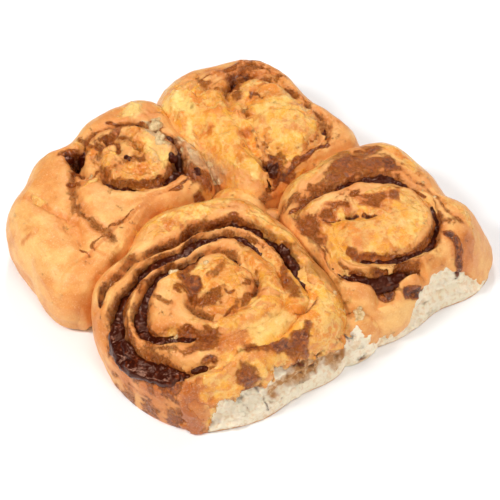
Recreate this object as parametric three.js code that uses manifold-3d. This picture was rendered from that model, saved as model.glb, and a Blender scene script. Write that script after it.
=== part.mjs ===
// Savoury pinwheel scrolls: a pull-apart block of four, baked side by side.
// Millimetres, +Z up, the tray face on z = 0, the torn edge toward -Y.
import * as THREE from "three";
import Module from "manifold-3d";

// ---------------------------------------------------------------- sizes
const STEP = 15;            // degrees between two sections of a rolled strip
const GAP = 0.3;            // play between dough and filling, mm
const PASTE_HALF = 1.3;     // half thickness of the filling, mm
const PASTE_SINK = 1.6;     // filling top below the dough crest, mm
const FOOT = 0.5;           // the filling stops this far above the tray, mm
const LIP = 3.2;            // how far a ridge rolls down into the spiral groove, mm
const TAIL = 2.6;           // thinnest end of a rolled strip, mm
const CHEESE = 2.4;         // melted cheese over the crest, mm
const CHEESE_LIFT = 0.45;   // cheese above dough, mm
const KEEL = 1.2;           // how far the cheese sinks between the ridges, mm
const DRAPE = 21;           // lowest point the cheese runs down to, mm

// Each scroll: centre of the swirl, outline radius every 22.5 degrees from +X
// (at the widest height), radius of the spiral groove every 45 degrees of turn
// from turn angle `from` until it runs out of the side at `end`, height of the middle and of the rim crest, and places
// where the filling is thicker: [turn angle, extra half thickness, spread].
const SCROLLS = {
  front: { c: [-41, -53], from: -945, end: 166, mid: 43.5, rim: 36.5,
    outline: [60.5, 66.5, 74, 69, 66, 55.5, 59, 56.5, 53, 51.5, 52.5, 50, 51, 53, 67.5, 65.5],
    groove: [7, 12, 14, 15.5, 21.5, 25.5, 26, 20.8, 26.5, 32.6, 26, 26.5, 34, 37, 38, 29.5, 36, 45.5, 42, 36, 45, 47.5, 48, 38.5, 48, 56],
    thick: [[-170, 1.6, 40], [-255, 0.9, 25], [-540, 0.7, 30]] },
  right: { c: [53, -56], from: -630, end: -71, mid: 41.5, rim: 36.5,
    outline: [54, 58, 68, 63, 56.5, 56, 48, 39, 36, 40.5, 52, 48, 44, 45, 60, 68.5],
    flare: [-27, 22],
    groove: [5, 13, 24, 25, 25.5, 33, 33, 31, 28.5, 39, 31, 37, 33.5, 62],
    thick: [[-132, 1.2, 20], [-300, 0.8, 30], [-490, 0.6, 30]] },
  left: { c: [-34, 48], from: -45, end: 598, mid: 41, rim: 34,
    outline: [43.5, 47.5, 61.5, 55.5, 48.5, 41.5, 51, 57, 71, 77, 87.5, 54, 37.5, 40.5, 49, 46.5],
    groove: [6, 8, 14, 18, 15, 13, 16, 20, 28, 31, 29.5, 29.5, 26, 32, 46, 75],
    thick: [[330, 1.4, 30], [505, 1.2, 20]] },
  back: { c: [52, 36], from: -315, end: 242, mid: 41.5, rim: 34.5,
    outline: [35, 36.5, 47.5, 60, 65.5, 72, 71, 50.5, 46, 48, 54, 43, 39.5, 43.5, 51.5, 42],
    groove: [9, 17, 14.4, 9.3, 18, 29, 28, 20, 26, 36, 25, 18, 28, 60],
    thick: [[205, 1.6, 22], [90, 1.0, 25]] },
};
// Side wall of the block: [height share of the rim, inset from the outline].
const SIDE = [[0.0, 4.6], [0.12, 1.4], [0.36, 0], [0.62, 0.8], [0.82, 3.8], [0.94, 8]];
const TORN = [[0.0, 0.2], [0.12, 0.4], [0.36, 1.4], [0.62, 3.4], [0.82, 6.6], [0.94, 11]];
const FLARE = [0.5, 0, 4.5, 10, 14.5, 18];  // inset at the same heights where a corner slopes out to the tray
const TORN_Y = -88;         // outline points in front of this lie on the torn edge

// Swellings that close the seams between the scrolls: plan centre, half sizes, turn, top height.
const MOUNDS = [
  [9, 3, 21, 17, -35, 31],      // where all four meet
  [9, 54, 11, 40, 0, 33],       // between left and back
  [-60, 1, 26, 11, 8, 31],      // roll of dough along the front-left seam
  [-84, -5, 18, 10, 30, 24],    // its outer end
  [17, -93, 16, 10, 0, 27],     // torn edge between front and right
  [86, -86, 12, 9, 0, 27],      // where the right roll runs out at the torn edge
];
// Melted cheese: plan centre, half sizes, turn, size of the lobes of its edge.
const CHEESES = {
  front: [-24, -78, 38, 18, 4, 0.07],
  right: [51, -60, 29, 20, 4, 0.08],
  middle: [19, 56, 17, 35, -3, 0.07],
  back: [54, 30, 14, 29, -6, 0.05],
};

// ---------------------------------------------------------------- helpers
const RAD = Math.PI / 180;
const clamp = (v, a = 0, b = 1) => Math.min(b, Math.max(a, v));
const ease = (v) => { const t = clamp(v); return t * t * (3 - 2 * t); };
const mod = (a, n) => ((a % n) + n) % n;

// smooth curve through evenly spaced values
function through(list, u, ring) {
  const n = list.length, at = (i) => ring ? list[mod(i, n)] : list[clamp(i, 0, n - 1)];
  const i = Math.floor(u), t = u - i;
  const [a, b, c, d] = [at(i - 1), at(i), at(i + 1), at(i + 2)];
  return b + 0.5 * t * (c - a + t * (2 * a - 5 * b + 4 * c - d + t * (3 * (b - c) + d - a)));
}
// gentle unevenness that needs no noise table
const uneven = (x, y, k) => Math.sin(x * 0.11 + k) * Math.cos(y * 0.093 - 1.7 * k) +
  0.5 * Math.sin(x * 0.23 - y * 0.19 + 2.3 * k);

class Scroll {
  constructor(key, d) { Object.assign(this, d); this.key = key; this.seed = key.length * 1.3 + d.c[0] * 0.07; }
  rim_at(deg) { return through(this.outline, mod(deg, 360) / 22.5, true); }
  groove_at(turn) {
    const r = through(this.groove, (turn - this.from) / 45, false), room = this.rim_at(turn) - 6.2;
    return turn < this.end - 24 ? Math.min(r, room) : r;
  }
  half(turn) { return this.thick.reduce((s, [a, e, w]) => s + e * Math.exp(-(((turn - a) / w) ** 2)), PASTE_HALF); }
  place(deg, r) { return [this.c[0] + r * Math.cos(deg * RAD), this.c[1] + r * Math.sin(deg * RAD)]; }
  crest(deg, r) {                   // height of the ridges over the plan
    const q = clamp(r / this.rim_at(deg), 0, 1.02);
    const [x, y] = this.place(deg, r);
    return this.rim + (this.mid - this.rim) * (1 - Math.pow(q, 2.2)) + 0.8 * uneven(x, y, this.seed);
  }
  torn(deg, r) { return ease((TORN_Y - this.place(deg, r)[1]) / 8); }
  side(deg, ri) {                   // outer wall, top to bottom, round a band that starts at ri
    const R = this.rim_at(deg), f = this.torn(deg, R), zr = this.crest(deg, R * 0.86) - 1.2;
    const k = clamp((R - ri - 3) / 15, 0.12, 1);
    const g = this.flare ? Math.exp(-(((mod(deg - this.flare[0] + 180, 360) - 180) / this.flare[1]) ** 2)) : 0;
    return SIDE.map(([h, s], i) => {
      const [x, y] = this.place(deg, R);
      const inset = s * k * (1 - f) + (TORN[i][1] * k + 0.9 * uneven(x * 2.1 + h * 30, y + h * 40, this.seed)) * f;
      return [R - inset * (1 - g) - Math.max(inset, FLARE[i]) * g, h * zr];
    }).reverse();
  }
  // one cut through the rolled strip at a turn angle: [radius, height] pairs
  section(turn) {
    const ri = this.groove_at(turn - 360) + this.half(turn - 360) + GAP;
    const outer = turn > this.end, pts = [];
    const ro = outer ? this.rim_at(turn) : this.groove_at(turn) - this.half(turn) - GAP;
    const wall = outer ? this.side(turn, ri) : [0.94, 0.82, 0.62, 0.36, 0.12, 0].map((h) => [ro, h * (this.crest(turn, ro) - LIP)]);
    const top = outer ? Math.max(wall[0][0] - 0.4, ri + 1.2) : ro;
    const w = top - ri;
    pts.push([ri, 0], [ri, this.crest(turn, ri) - LIP]);
    for (const t of [0.14, 0.36, 0.62, 0.86]) {
      const dip = LIP * (0.42 * Math.exp(-(((t) / 0.16) ** 2)) + (outer ? 0.3 : 0.42) * Math.exp(-(((1 - t) / 0.16) ** 2)));
      const r = ri + w * t;
      pts.push([r, this.crest(turn, r) - dip]);
    }
    wall.forEach(([r, z], i) => pts.push([Math.max(r, ri + 1.4 + 0.15 * i), z]));
    return pts;
  }
}

// closed skin over rings of equal length, both ends capped
function skin(rings) {
  const n = rings[0].length, pos = rings.flat(2), tri = [];
  for (let i = 0; i + 1 < rings.length; i++) for (let j = 0; j < n; j++) {
    const k = (j + 1) % n, a = i * n + j, b = i * n + k, c = a + n, d = b + n;
    tri.push(a, b, d, a, d, c);
  }
  const cap = (ring, base, flip) => {
    const v = ring.map(([x, y, z]) => new THREE.Vector2(Math.hypot(x - ring[0][0], y - ring[0][1]), z));
    const way = Math.sign(THREE.ShapeUtils.area(v));
    for (const t of THREE.ShapeUtils.triangulateShape(v, [])) {
      const same = Math.sign(THREE.ShapeUtils.area(t.map((q) => v[q]))) === way;
      const [a, b, c] = same !== flip ? t : [t[0], t[2], t[1]];
      tri.push(base + a, base + b, base + c);
    }
  };
  cap(rings[0], 0, true); cap(rings.at(-1), (rings.length - 1) * n, false);
  return { pos, tri };
}

const wasm = await Module();
wasm.setup();
function solid({ pos, tri }) {      // facing out, whichever way the rings ran
  const make = (t) => new wasm.Manifold(new wasm.Mesh({ numProp: 3, vertProperties: Float32Array.from(pos), triVerts: Uint32Array.from(t) }));
  let m = make(tri);
  if (m.volume() < 0) { const t = tri.slice(); for (let i = 0; i < t.length; i += 3) [t[i + 1], t[i + 2]] = [t[i + 2], t[i + 1]]; m = make(t); }
  return m;
}

// ---------------------------------------------------------------- dough
function strip(s) {
  const rings = [];
  for (let t = s.from + 360 - STEP; ; t += STEP) {
    if (t > s.end + 200 && s.rim_at(t) - (s.groove_at(t - 360) + s.half(t - 360) + GAP) < TAIL) break;
    rings.push(s.section(t).map(([r, z]) => [...s.place(t, r), z]));
  }
  return solid(skin(rings));
}
// the heart of the swirl: first turn as one small closed mound
function heart(s) {
  const N = 24, pos = [], tri = [], rows = [[1, 0], [1, 0.5], [1, "lip"], [0.86, "rim"], [0.55, "top"], [0.25, "top"]];
  const radius = (i) => {
    const a = i * STEP, full = s.groove_at(s.from + a) - s.half(s.from + a) - GAP;
    const last = s.groove_at(s.from + 360) - s.half(s.from + 360) - GAP;
    return a < 45 ? last + (full - last) * ease(a / 45) : full;
  };
  for (const [q, h] of rows) for (let i = 0; i < N; i++) {
    const deg = s.from + i * STEP, r = Math.max(3, radius(i)) * q, top = s.crest(deg, r);
    const z = h === "top" ? top : h === "rim" ? top - 0.5 : h === "lip" ? top - LIP : h * (top - LIP);
    pos.push(...s.place(deg, r), z);
  }
  const R = rows.length;
  pos.push(...s.c, 0, ...s.c, s.crest(0, 0));
  for (let j = 0; j + 1 < R; j++) for (let i = 0; i < N; i++) {
    const k = (i + 1) % N, a = j * N + i, b = j * N + k, c = a + N, d = b + N;
    tri.push(a, b, d, a, d, c);
  }
  for (let i = 0; i < N; i++) { const k = (i + 1) % N; tri.push(R * N, k, i, R * N + 1, (R - 1) * N + i, (R - 1) * N + k); }
  return solid({ pos, tri });
}
// the filling: a standing ribbon wound in the groove
function ribbon(s, play = 0) {
  const rings = [];
  for (let t = s.from + 4 * STEP; t <= s.end - 17; t += STEP) {
    const g = s.groove_at(t), h = s.half(t) + play, top = s.crest(t, g) - PASTE_SINK + play * 9;
    rings.push([[g - h, FOOT], [g - h, top - 1], [g, top], [g + h, top - 1], [g + h, FOOT]].map(([r, z]) => [...s.place(t, r), z]));
  }
  return solid(skin(rings));
}

// a mound of dough: half an egg standing on the tray
function mound([cx, cy, a, b, turn, top]) {
  const N = 20, prof = [[0.86, 0], [0.97, 0.14], [1, 0.38], [0.95, 0.62], [0.8, 0.83], [0.5, 0.96]];
  const c = Math.cos(turn * RAD), s = Math.sin(turn * RAD), pos = [], tri = [];
  for (const [q, h] of prof) for (let i = 0; i < N; i++) {
    const u = a * q * Math.cos(2 * Math.PI * i / N), v = b * q * Math.sin(2 * Math.PI * i / N);
    pos.push(cx + u * c - v * s, cy + u * s + v * c, h * top);
  }
  const R = prof.length;
  pos.push(cx, cy, 0, cx, cy, top);
  for (let j = 0; j + 1 < R; j++) for (let i = 0; i < N; i++) {
    const k = (i + 1) % N, p = j * N + i, q = j * N + k;
    tri.push(p, q, q + N, p, q + N, p + N);
  }
  for (let i = 0; i < N; i++) { const k = (i + 1) % N; tri.push(R * N, k, i, R * N + 1, (R - 1) * N + i, (R - 1) * N + k); }
  return solid({ pos, tri });
}
// height of the dough over a plan point, ridges left out
function cover(x, y) {
  let z = 0;
  for (const s of scrolls) {
    const deg = Math.atan2(y - s.c[1], x - s.c[0]) / RAD, r = Math.hypot(x - s.c[0], y - s.c[1]);
    const R = s.rim_at(deg);
    if (r > R) continue;
    const turn = s.end - mod(s.end - deg, 360);      // the groove inside the outermost band
    const wall = s.side(deg, s.groove_at(turn) + s.half(turn) + GAP);
    if (r <= wall[0][0]) { z = Math.max(z, s.crest(deg, r)); continue; }
    const i = wall.findIndex(([q]) => q >= r), [r0, z0] = wall[Math.max(0, i - 1)], [r1, z1] = wall[Math.max(1, i)];
    z = Math.max(z, z0 + (z1 - z0) * clamp((r - r0) / Math.max(0.1, r1 - r0)));
  }
  for (const [cx, cy, a, b, turn, top] of MOUNDS) {
    const c = Math.cos(turn * RAD), n = Math.sin(turn * RAD), u = ((x - cx) * c + (y - cy) * n) / a, v = ((y - cy) * c - (x - cx) * n) / b;
    const q = Math.hypot(u, v);
    if (q < 1) z = Math.max(z, top * (1 - 0.4 * Math.pow(q, 4)));
  }
  return z;
}
// the same, levelled over the hollows the cheese has run into
function level(x, y) {
  let sum = 0;
  for (let i = 0; i < 8; i++) sum += cover(x + 6 * Math.cos(i * 45 * RAD), y + 6 * Math.sin(i * 45 * RAD));
  return Math.max(sum / 8, cover(x, y));
}
// a melted sheet: lobed in plan, thick in the middle, laid over the dough
function melt([cx, cy, a, b, turn, lobes], under) {
  const N = 24, rings = [1, 0.9, 0.6, 0.3], c = Math.cos(turn * RAD), n = Math.sin(turn * RAD), pos = [], tri = [];
  const at = (q, i) => {
    const w = 2 * Math.PI * i / N, e = q * (1 + lobes * (Math.sin(3 * w + cx) + 0.6 * Math.sin(5 * w + cy)));
    const u = a * e * Math.cos(w), v = b * e * Math.sin(w);
    return [cx + u * c - v * n, cy + u * n + v * c];
  };
  for (let i = 0; i < N; i++) { const [x, y] = at(1, i); pos.push(x, y, cover(x, y) - KEEL); }
  rings.forEach((q, j) => { for (let i = 0; i < N; i++) { const [x, y] = at(q, i); pos.push(x, y, j ? level(x, y) + CHEESE : cover(x, y) + CHEESE * 0.4); } });
  const R = rings.length + 1;
  pos.push(cx, cy, cover(cx, cy) - KEEL, cx, cy, level(cx, cy) + CHEESE);
  for (let j = 0; j + 1 < R; j++) for (let i = 0; i < N; i++) {
    const k = (i + 1) % N, p = j * N + i, q = j * N + k;
    tri.push(p, q, q + N, p, q + N, p + N);
  }
  for (let i = 0; i < N; i++) { const k = (i + 1) % N; tri.push(R * N, k, i, R * N + 1, (R - 1) * N + i, (R - 1) * N + k); }
  const whole = solid({ pos, tri }).subtract(under.translate([0, 0, CHEESE_LIFT]))
    .subtract(under.translate([0, -CHEESE_LIFT, 0])).trimByPlane([0, 0, 1], DRAPE);
  return whole.decompose().sort((p, q) => q.volume() - p.volume())[0].simplify(0.02);
}

const scrolls = Object.entries(SCROLLS).map(([k, d]) => new Scroll(k, d));
let bread = null;
for (const s of scrolls) {
  const one = strip(s).add(heart(s));
  bread = bread ? bread.add(one) : one;
}
const ribbons = scrolls.map((s) => ribbon(s));
for (const m of MOUNDS)             // the swellings stop short of the filling
  bread = bread.add(scrolls.reduce((left, s) => left.subtract(ribbon(s, 1)), mound(m)));
bread = bread.simplify(0.1);
const nodes = { bread };
scrolls.forEach((s, i) => { nodes["filling_" + s.key] = ribbons[i]; });
const under = ribbons.reduce((all, r) => all.add(r), bread);
for (const [key, c] of Object.entries(CHEESES)) nodes["cheese_" + key] = melt(c, under);

// ---------------------------------------------------------------- output
const box = bread.boundingBox();
const shift = [-(box.min[0] + box.max[0]) / 2, -(box.min[1] + box.max[1]) / 2, 0];
const LOOK = { bread: [0xd9a05b, 0.75], filling: [0x4a1c0c, 0.35], cheese: [0xe9b552, 0.45] };
const group = new THREE.Group();
for (const [name, m] of Object.entries(nodes)) {
  const g = m.getMesh(), p = new Float32Array(g.vertProperties.length);
  for (let i = 0; i < p.length; i++) p[i] = g.vertProperties[i] + shift[i % 3];
  const geo = new THREE.BufferGeometry();
  geo.setAttribute("position", new THREE.BufferAttribute(p, 3));
  geo.setIndex(new THREE.BufferAttribute(new Uint32Array(g.triVerts), 1));
  geo.computeVertexNormals();
  const [color, roughness] = LOOK[name.split("_")[0]];
  const mesh = new THREE.Mesh(geo, new THREE.MeshStandardMaterial({ color, roughness }));
  mesh.name = name;
  group.add(mesh);
}
export default group;
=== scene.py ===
"""Surfaces, finishes and stage for a pull-apart block of four savoury pinwheel scrolls."""
import math

import bpy
import numpy as np
from bpy.props import FloatProperty, FloatVectorProperty, IntProperty, PointerProperty
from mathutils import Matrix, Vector


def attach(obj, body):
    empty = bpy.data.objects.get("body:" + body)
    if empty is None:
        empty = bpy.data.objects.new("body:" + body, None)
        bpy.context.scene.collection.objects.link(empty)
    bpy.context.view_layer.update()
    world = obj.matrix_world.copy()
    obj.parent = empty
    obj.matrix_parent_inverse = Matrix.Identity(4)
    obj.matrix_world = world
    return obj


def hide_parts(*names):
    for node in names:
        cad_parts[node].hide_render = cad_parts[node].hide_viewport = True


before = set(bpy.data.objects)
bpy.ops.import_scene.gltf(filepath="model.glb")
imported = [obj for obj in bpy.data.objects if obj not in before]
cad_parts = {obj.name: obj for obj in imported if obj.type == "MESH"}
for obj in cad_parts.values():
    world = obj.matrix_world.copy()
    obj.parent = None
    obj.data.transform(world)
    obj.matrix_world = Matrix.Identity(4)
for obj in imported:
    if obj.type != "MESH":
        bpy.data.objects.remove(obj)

bl_info = {
    "name": "Savoury pinwheel scrolls",
    "version": (1, 0, 0),
    "blender": (4, 5, 0),
    "location": "View3D > Sidebar > Scrolls",
    "description": "Builds the fine surfaces, finishes and stage of a block of four baked scrolls",
    "category": "Object",
}

MM = 0.001
SHIFT = (-3.860, -0.007)           # plan offset that centres the block, mm

# ------------------------------------------------------------------ layout, mm
# Per scroll: the swirl's centre, first and last turn angle of the groove, height of the middle
# and of the rim, outline radius every OUTLINE_STEP degrees, groove radius every GROOVE_STEP
# degrees of turn. Then lists of (turn angle, amount, spread): paste widens the filling that
# shows, sink lowers it, and opening is how open the groove is, after a base value. Flare is the
# angle and the spread of a corner that slopes out to the tray. Stained is the strength of the
# filling on the groove's lips, and busy that of the folds where the top is covered.
SCROLLS = {
    "front": dict(
        centre=(-41, -53), start=-945, end=166, mid=43.5, rim=36.5, stained=0.62, busy=1.0,
        outline=(60.5, 66.5, 74, 69, 66, 55.5, 59, 56.5, 53, 51.5, 52.5, 50, 51, 53, 67.5, 65.5),
        groove=(7, 12, 14, 15.5, 21.5, 25.5, 26, 20.8, 26.5, 32.6, 26, 26.5, 34, 37, 38, 29.5, 36, 45.5,
                42, 36, 45, 47.5, 48, 38.5, 48, 56),
        paste=((-166, 3.6, 36), (-262, 2.0, 34), (-535, 2.0, 44), (0, 1.2, 44), (60, -0.2, 40),
               (-345, 1.0, 30)),
        sink=((85, 2.6, 45), (-60, 1.0, 50)),
        opening=(0.45, ((-190, 0.55, 70), (-100, -0.6, 32), (-300, 0.3, 60), (40, 0.5, 70),
                        (-560, 0.5, 60), (-455, -0.5, 40), (-360, -0.15, 50), (-700, -0.1, 60),
                        (-820, -0.4, 60)))),
    "right": dict(
        centre=(53, -56), start=-630, end=-71, mid=41.5, rim=36.5, stained=0.8, busy=0.7,
        outline=(54, 58, 68, 63, 56.5, 56, 48, 39, 36, 40.5, 52, 48, 44, 45, 60, 68.5),
        flare=(-27, 22),
        groove=(5, 13, 24, 25, 25.5, 33, 33, 31, 28.5, 39, 31, 37, 33.5, 62),
        paste=((-128, 2.2, 26), (-250, 0.8, 50), (-470, 1.2, 50), (-320, 1.6, 26)),
        sink=((-190, 1.5, 40),),
        opening=(0.3, ((-118, 0.7, 42), (-395, 0.6, 22), (-460, 0.3, 60), (-290, 0.25, 50),
                       (-200, -0.2, 40)))),
    "left": dict(
        centre=(-34, 48), start=-45, end=598, mid=41, rim=34, stained=0.8, busy=1.4,
        outline=(43.5, 47.5, 61.5, 55.5, 48.5, 41.5, 51, 57, 71, 77, 87.5, 54, 37.5, 40.5, 49, 46.5),
        groove=(6, 8, 14, 18, 15, 13, 16, 20, 28, 31, 29.5, 29.5, 26, 32, 46, 75),
        paste=((330, 2.0, 26), (505, 1.5, 16), (70, 0.6, 30), (240, 0.2, 40)),
        sink=((560, 2.5, 30), (505, 3.0, 18)),
        opening=(0.12, ((235, 0.4, 45), (330, 0.85, 24), (412, 0.4, 26), (500, 0.85, 20),
                        (590, -0.1, 60)))),
    "back": dict(
        centre=(52, 36), start=-315, end=242, mid=41.5, rim=34.5, stained=0.8, busy=1.3,
        outline=(35, 36.5, 47.5, 60, 65.5, 72, 71, 50.5, 46, 48, 54, 43, 39.5, 43.5, 51.5, 42),
        groove=(9, 17, 14.4, 9.3, 18, 29, 28, 20, 26, 36, 25, 18, 28, 60),
        paste=((212, 3.0, 22), (90, 0.6, 28), (-60, 0.3, 40)),
        sink=((212, 1.5, 20),),
        opening=(0.14, ((212, 0.85, 22), (88, 0.3, 34), (-60, 0.25, 45), (20, 0.2, 40)))),
}
OUTLINE_STEP, GROOVE_STEP = 22.5, 45
LIP, SHOULDER = 5.0, 7.2           # roll-down of a ridge into the groove, and over what distance
LEAN_LEAST = 0.3                   # least roll-down that still widens a shoulder
RIM_LEAST, RUN_OUT = 6.2, 24       # least rim outside the groove, but for its last degrees
FADE_IN, FADE_OUT = (10, 50), (6, 12)   # past the groove's first and last angle, and over how far
SLOPE_STEP = 4                     # degrees either way over which the groove's slope is taken
ROOM_STEP = 25                     # degrees over which the rim's room changes at the groove's end
ROOM_LEAST, ROOM_FULL = 0.25, 15   # least share of the rounding, and the rim's width for all of it
PASTE_HALF = 1.3                   # half width of the filling where paste adds nothing, mm
EVEN_POWER = 2.2                   # how long the top stays level before it falls to the rim
# Side of the block: share of the height, and how far in from the outline; plain, torn, and
# where a corner slopes out to the tray.
SIDE = ((0.0, 4.6), (0.12, 1.4), (0.36, 0.0), (0.62, 0.8), (0.82, 3.8), (0.94, 8.0), (1.0, 12.0))
TORN = ((0.0, 0.2), (0.12, 0.4), (0.36, 1.4), (0.62, 3.4), (0.82, 6.6), (0.94, 11.0), (1.0, 15.0))
FLARE = ((0.0, 0.5), (0.12, 0.0), (0.36, 4.5), (0.62, 10.0), (0.82, 14.5), (0.94, 18.0), (1.0, 22.0))
TORN_Y, TORN_FADE = -88, 8         # plan line in front of which the side is torn, its fade
TEARS = {                          # plan line of the crumb, its fade, least forward tilt, its fade
    "skin": (-84, 6, 0.25, 0.35), "seams": (-86, 5, 0.2, 0.4), "sheet": (-86, 6, 0.15, 0.4)}
OVAL_EDGE, LINE_EDGE = 1.35, 1.5   # where a drawn oval and a drawn line have faded, in half widths


# ------------------------------------------------------------------ numbers
def ease(v):
    """Smooth step 3 v^2 - 2 v^3, from 0 to 1."""
    v = np.clip(v, 0.0, 1.0)
    return v * v * (3 - 2 * v)


def through(values, u, ring):
    """Catmull-Rom curve through evenly spaced values, at u steps along them; a ring joins its ends."""
    a = np.asarray(values, float)
    i = np.floor(u).astype(int)
    t = u - i

    def pick(k):
        return a[(i + k) % len(a)] if ring else a[np.clip(i + k, 0, len(a) - 1)]

    p, q, r, s = pick(-1), pick(0), pick(1), pick(2)
    return q + 0.5 * t * (r - p + t * (2 * p - 5 * q + 4 * r - s + t * (3 * (q - r) + s - p)))


class Noise:
    """Gradient noise on a wrapped lattice: random slopes at whole points, blended by a quintic."""
    CELLS = 256
    GAIN = 1.6                     # brings the values to about -1 to 1

    def __init__(self, seed):
        rng = np.random.default_rng(seed)
        self.p = np.tile(rng.permutation(self.CELLS), 3)
        g = rng.normal(size=(self.CELLS, 3))
        self.g = g / np.linalg.norm(g, axis=1)[:, None]

    def __call__(self, x, y, z):
        x, y, z = np.broadcast_arrays(*(np.asarray(v, float) for v in (x, y, z)))
        xi, yi, zi = (np.floor(v).astype(int) for v in (x, y, z))
        xf, yf, zf = x - xi, y - yi, z - zi
        u, v, w = (t * t * t * (t * (6 * t - 15) + 10) for t in (xf, yf, zf))
        out = np.zeros(x.shape)
        wrap = self.CELLS - 1
        for a in (0, 1):
            for b in (0, 1):
                for c in (0, 1):
                    h = self.p[self.p[self.p[(xi + a) & wrap] + ((yi + b) & wrap)] + ((zi + c) & wrap)]
                    g = self.g[h]
                    dot = g[..., 0] * (xf - a) + g[..., 1] * (yf - b) + g[..., 2] * (zf - c)
                    out += dot * (u if a else 1 - u) * (v if b else 1 - v) * (w if c else 1 - w)
        return out * self.GAIN

    def octave(self, p, k, move):
        """Noise at points p times k, moved so that the octaves don't line up."""
        return self(*(p[..., axis] * k + move[axis] for axis in range(3)))

    def rough(self, p, size, octaves=3, gain=0.5):
        """Sum of octaves over points p in mm, with features of the given size."""
        total, amp, k = 0.0, 1.0, 1.0 / size
        for i in range(octaves):
            total = total + amp * self.octave(p, k, (7.3 * i, -3.1 * i, 1.7 * i))
            amp, k = amp * gain, k * 2.03
        return total

    def creased(self, p, size, octaves=3):
        """Sum of octaves of 0.62 - 2.6 |n|: sharp crests where n is 0, about 0 on average."""
        total, amp, k = 0.0, 1.0, 1.0 / size
        for i in range(octaves):
            n = self.octave(p, k, (4.1 * i, 9.2 * i, -5.3 * i))
            total, amp, k = total + amp * (0.62 - 2.6 * np.abs(n)), amp * 0.5, k * 2.1
        return total


NOISE_SEED, CURD_SEED = 41, 7
NOISE = Noise(NOISE_SEED)


def warp(x, y, reach=3.4, size=24.0):
    """Plan points moved a little by slow noise, so that drawn features run unevenly."""
    p = np.stack(np.broadcast_arrays(x, y, 0.0), -1)
    move = [reach * NOISE.rough(p + k, size, 2) for k in (60.0, 95.0)]
    return x + move[0], y + move[1]


def in_oval(x, y, cx, cy, a, b, turn):
    """Plan places along an oval's own turned axes, as shares of its half sizes a and b."""
    c, s = math.cos(math.radians(turn)), math.sin(math.radians(turn))
    return ((x - cx) * c + (y - cy) * s) / a, ((y - cy) * c - (x - cx) * s) / b


def blobs(x, y, table, wobble):
    """Largest of soft ovals (x, y, half width, half depth, turn, amount): amount times
    ease(OVAL_EDGE - q), q being the distance from the middle in half sizes, plus the wobble."""
    out = np.zeros(np.shape(x))
    for *oval, amount in table:
        q = np.hypot(*in_oval(x, y, *oval)) + wobble
        out = np.maximum(out, amount * ease(OVAL_EDGE - q))
    return out


def bumps(x, y, table):
    """Sum of soft swellings (x, y, half width, half depth, turn, height): height times exp(-q^2)."""
    out = np.zeros(np.shape(x))
    for *oval, height in table:
        u, v = in_oval(x, y, *oval)
        out = out + height * np.exp(-(u * u + v * v))
    return out


def line_dist(x, y, path):
    """Distance to a chain of straight pieces, and how far along the chain, 0 to 1."""
    best, along = np.full(np.shape(x), 1e9), np.zeros(np.shape(x))
    total = sum(math.dist(a, b) for a, b in zip(path, path[1:]))
    run = 0.0
    for (ax, ay), (bx, by) in zip(path, path[1:]):
        dx, dy = bx - ax, by - ay
        n = math.hypot(dx, dy)
        t = np.clip(((x - ax) * dx + (y - ay) * dy) / (n * n), 0, 1)
        d = np.hypot(x - ax - t * dx, y - ay - t * dy)
        near = d < best
        best, along = np.where(near, d, best), np.where(near, (run + t * n) / total, along)
        run += n
    return best, along


def lines(x, y, table, wobble):
    """Largest of drawn lines (path, half width, amount): amount times ease(LINE_EDGE - q), q being
    the distance from the path in half widths, less the wobble."""
    out = np.zeros(np.shape(x))
    for path, width, amount in table:
        e, _ = line_dist(x, y, path)
        out = np.maximum(out, amount * ease(LINE_EDGE - e / width + wobble))
    return out


def hem(x):
    """Height on the torn face at which the crust or the cheese ends and the crumb begins."""
    return np.interp(x, *zip(*HEM))


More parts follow.
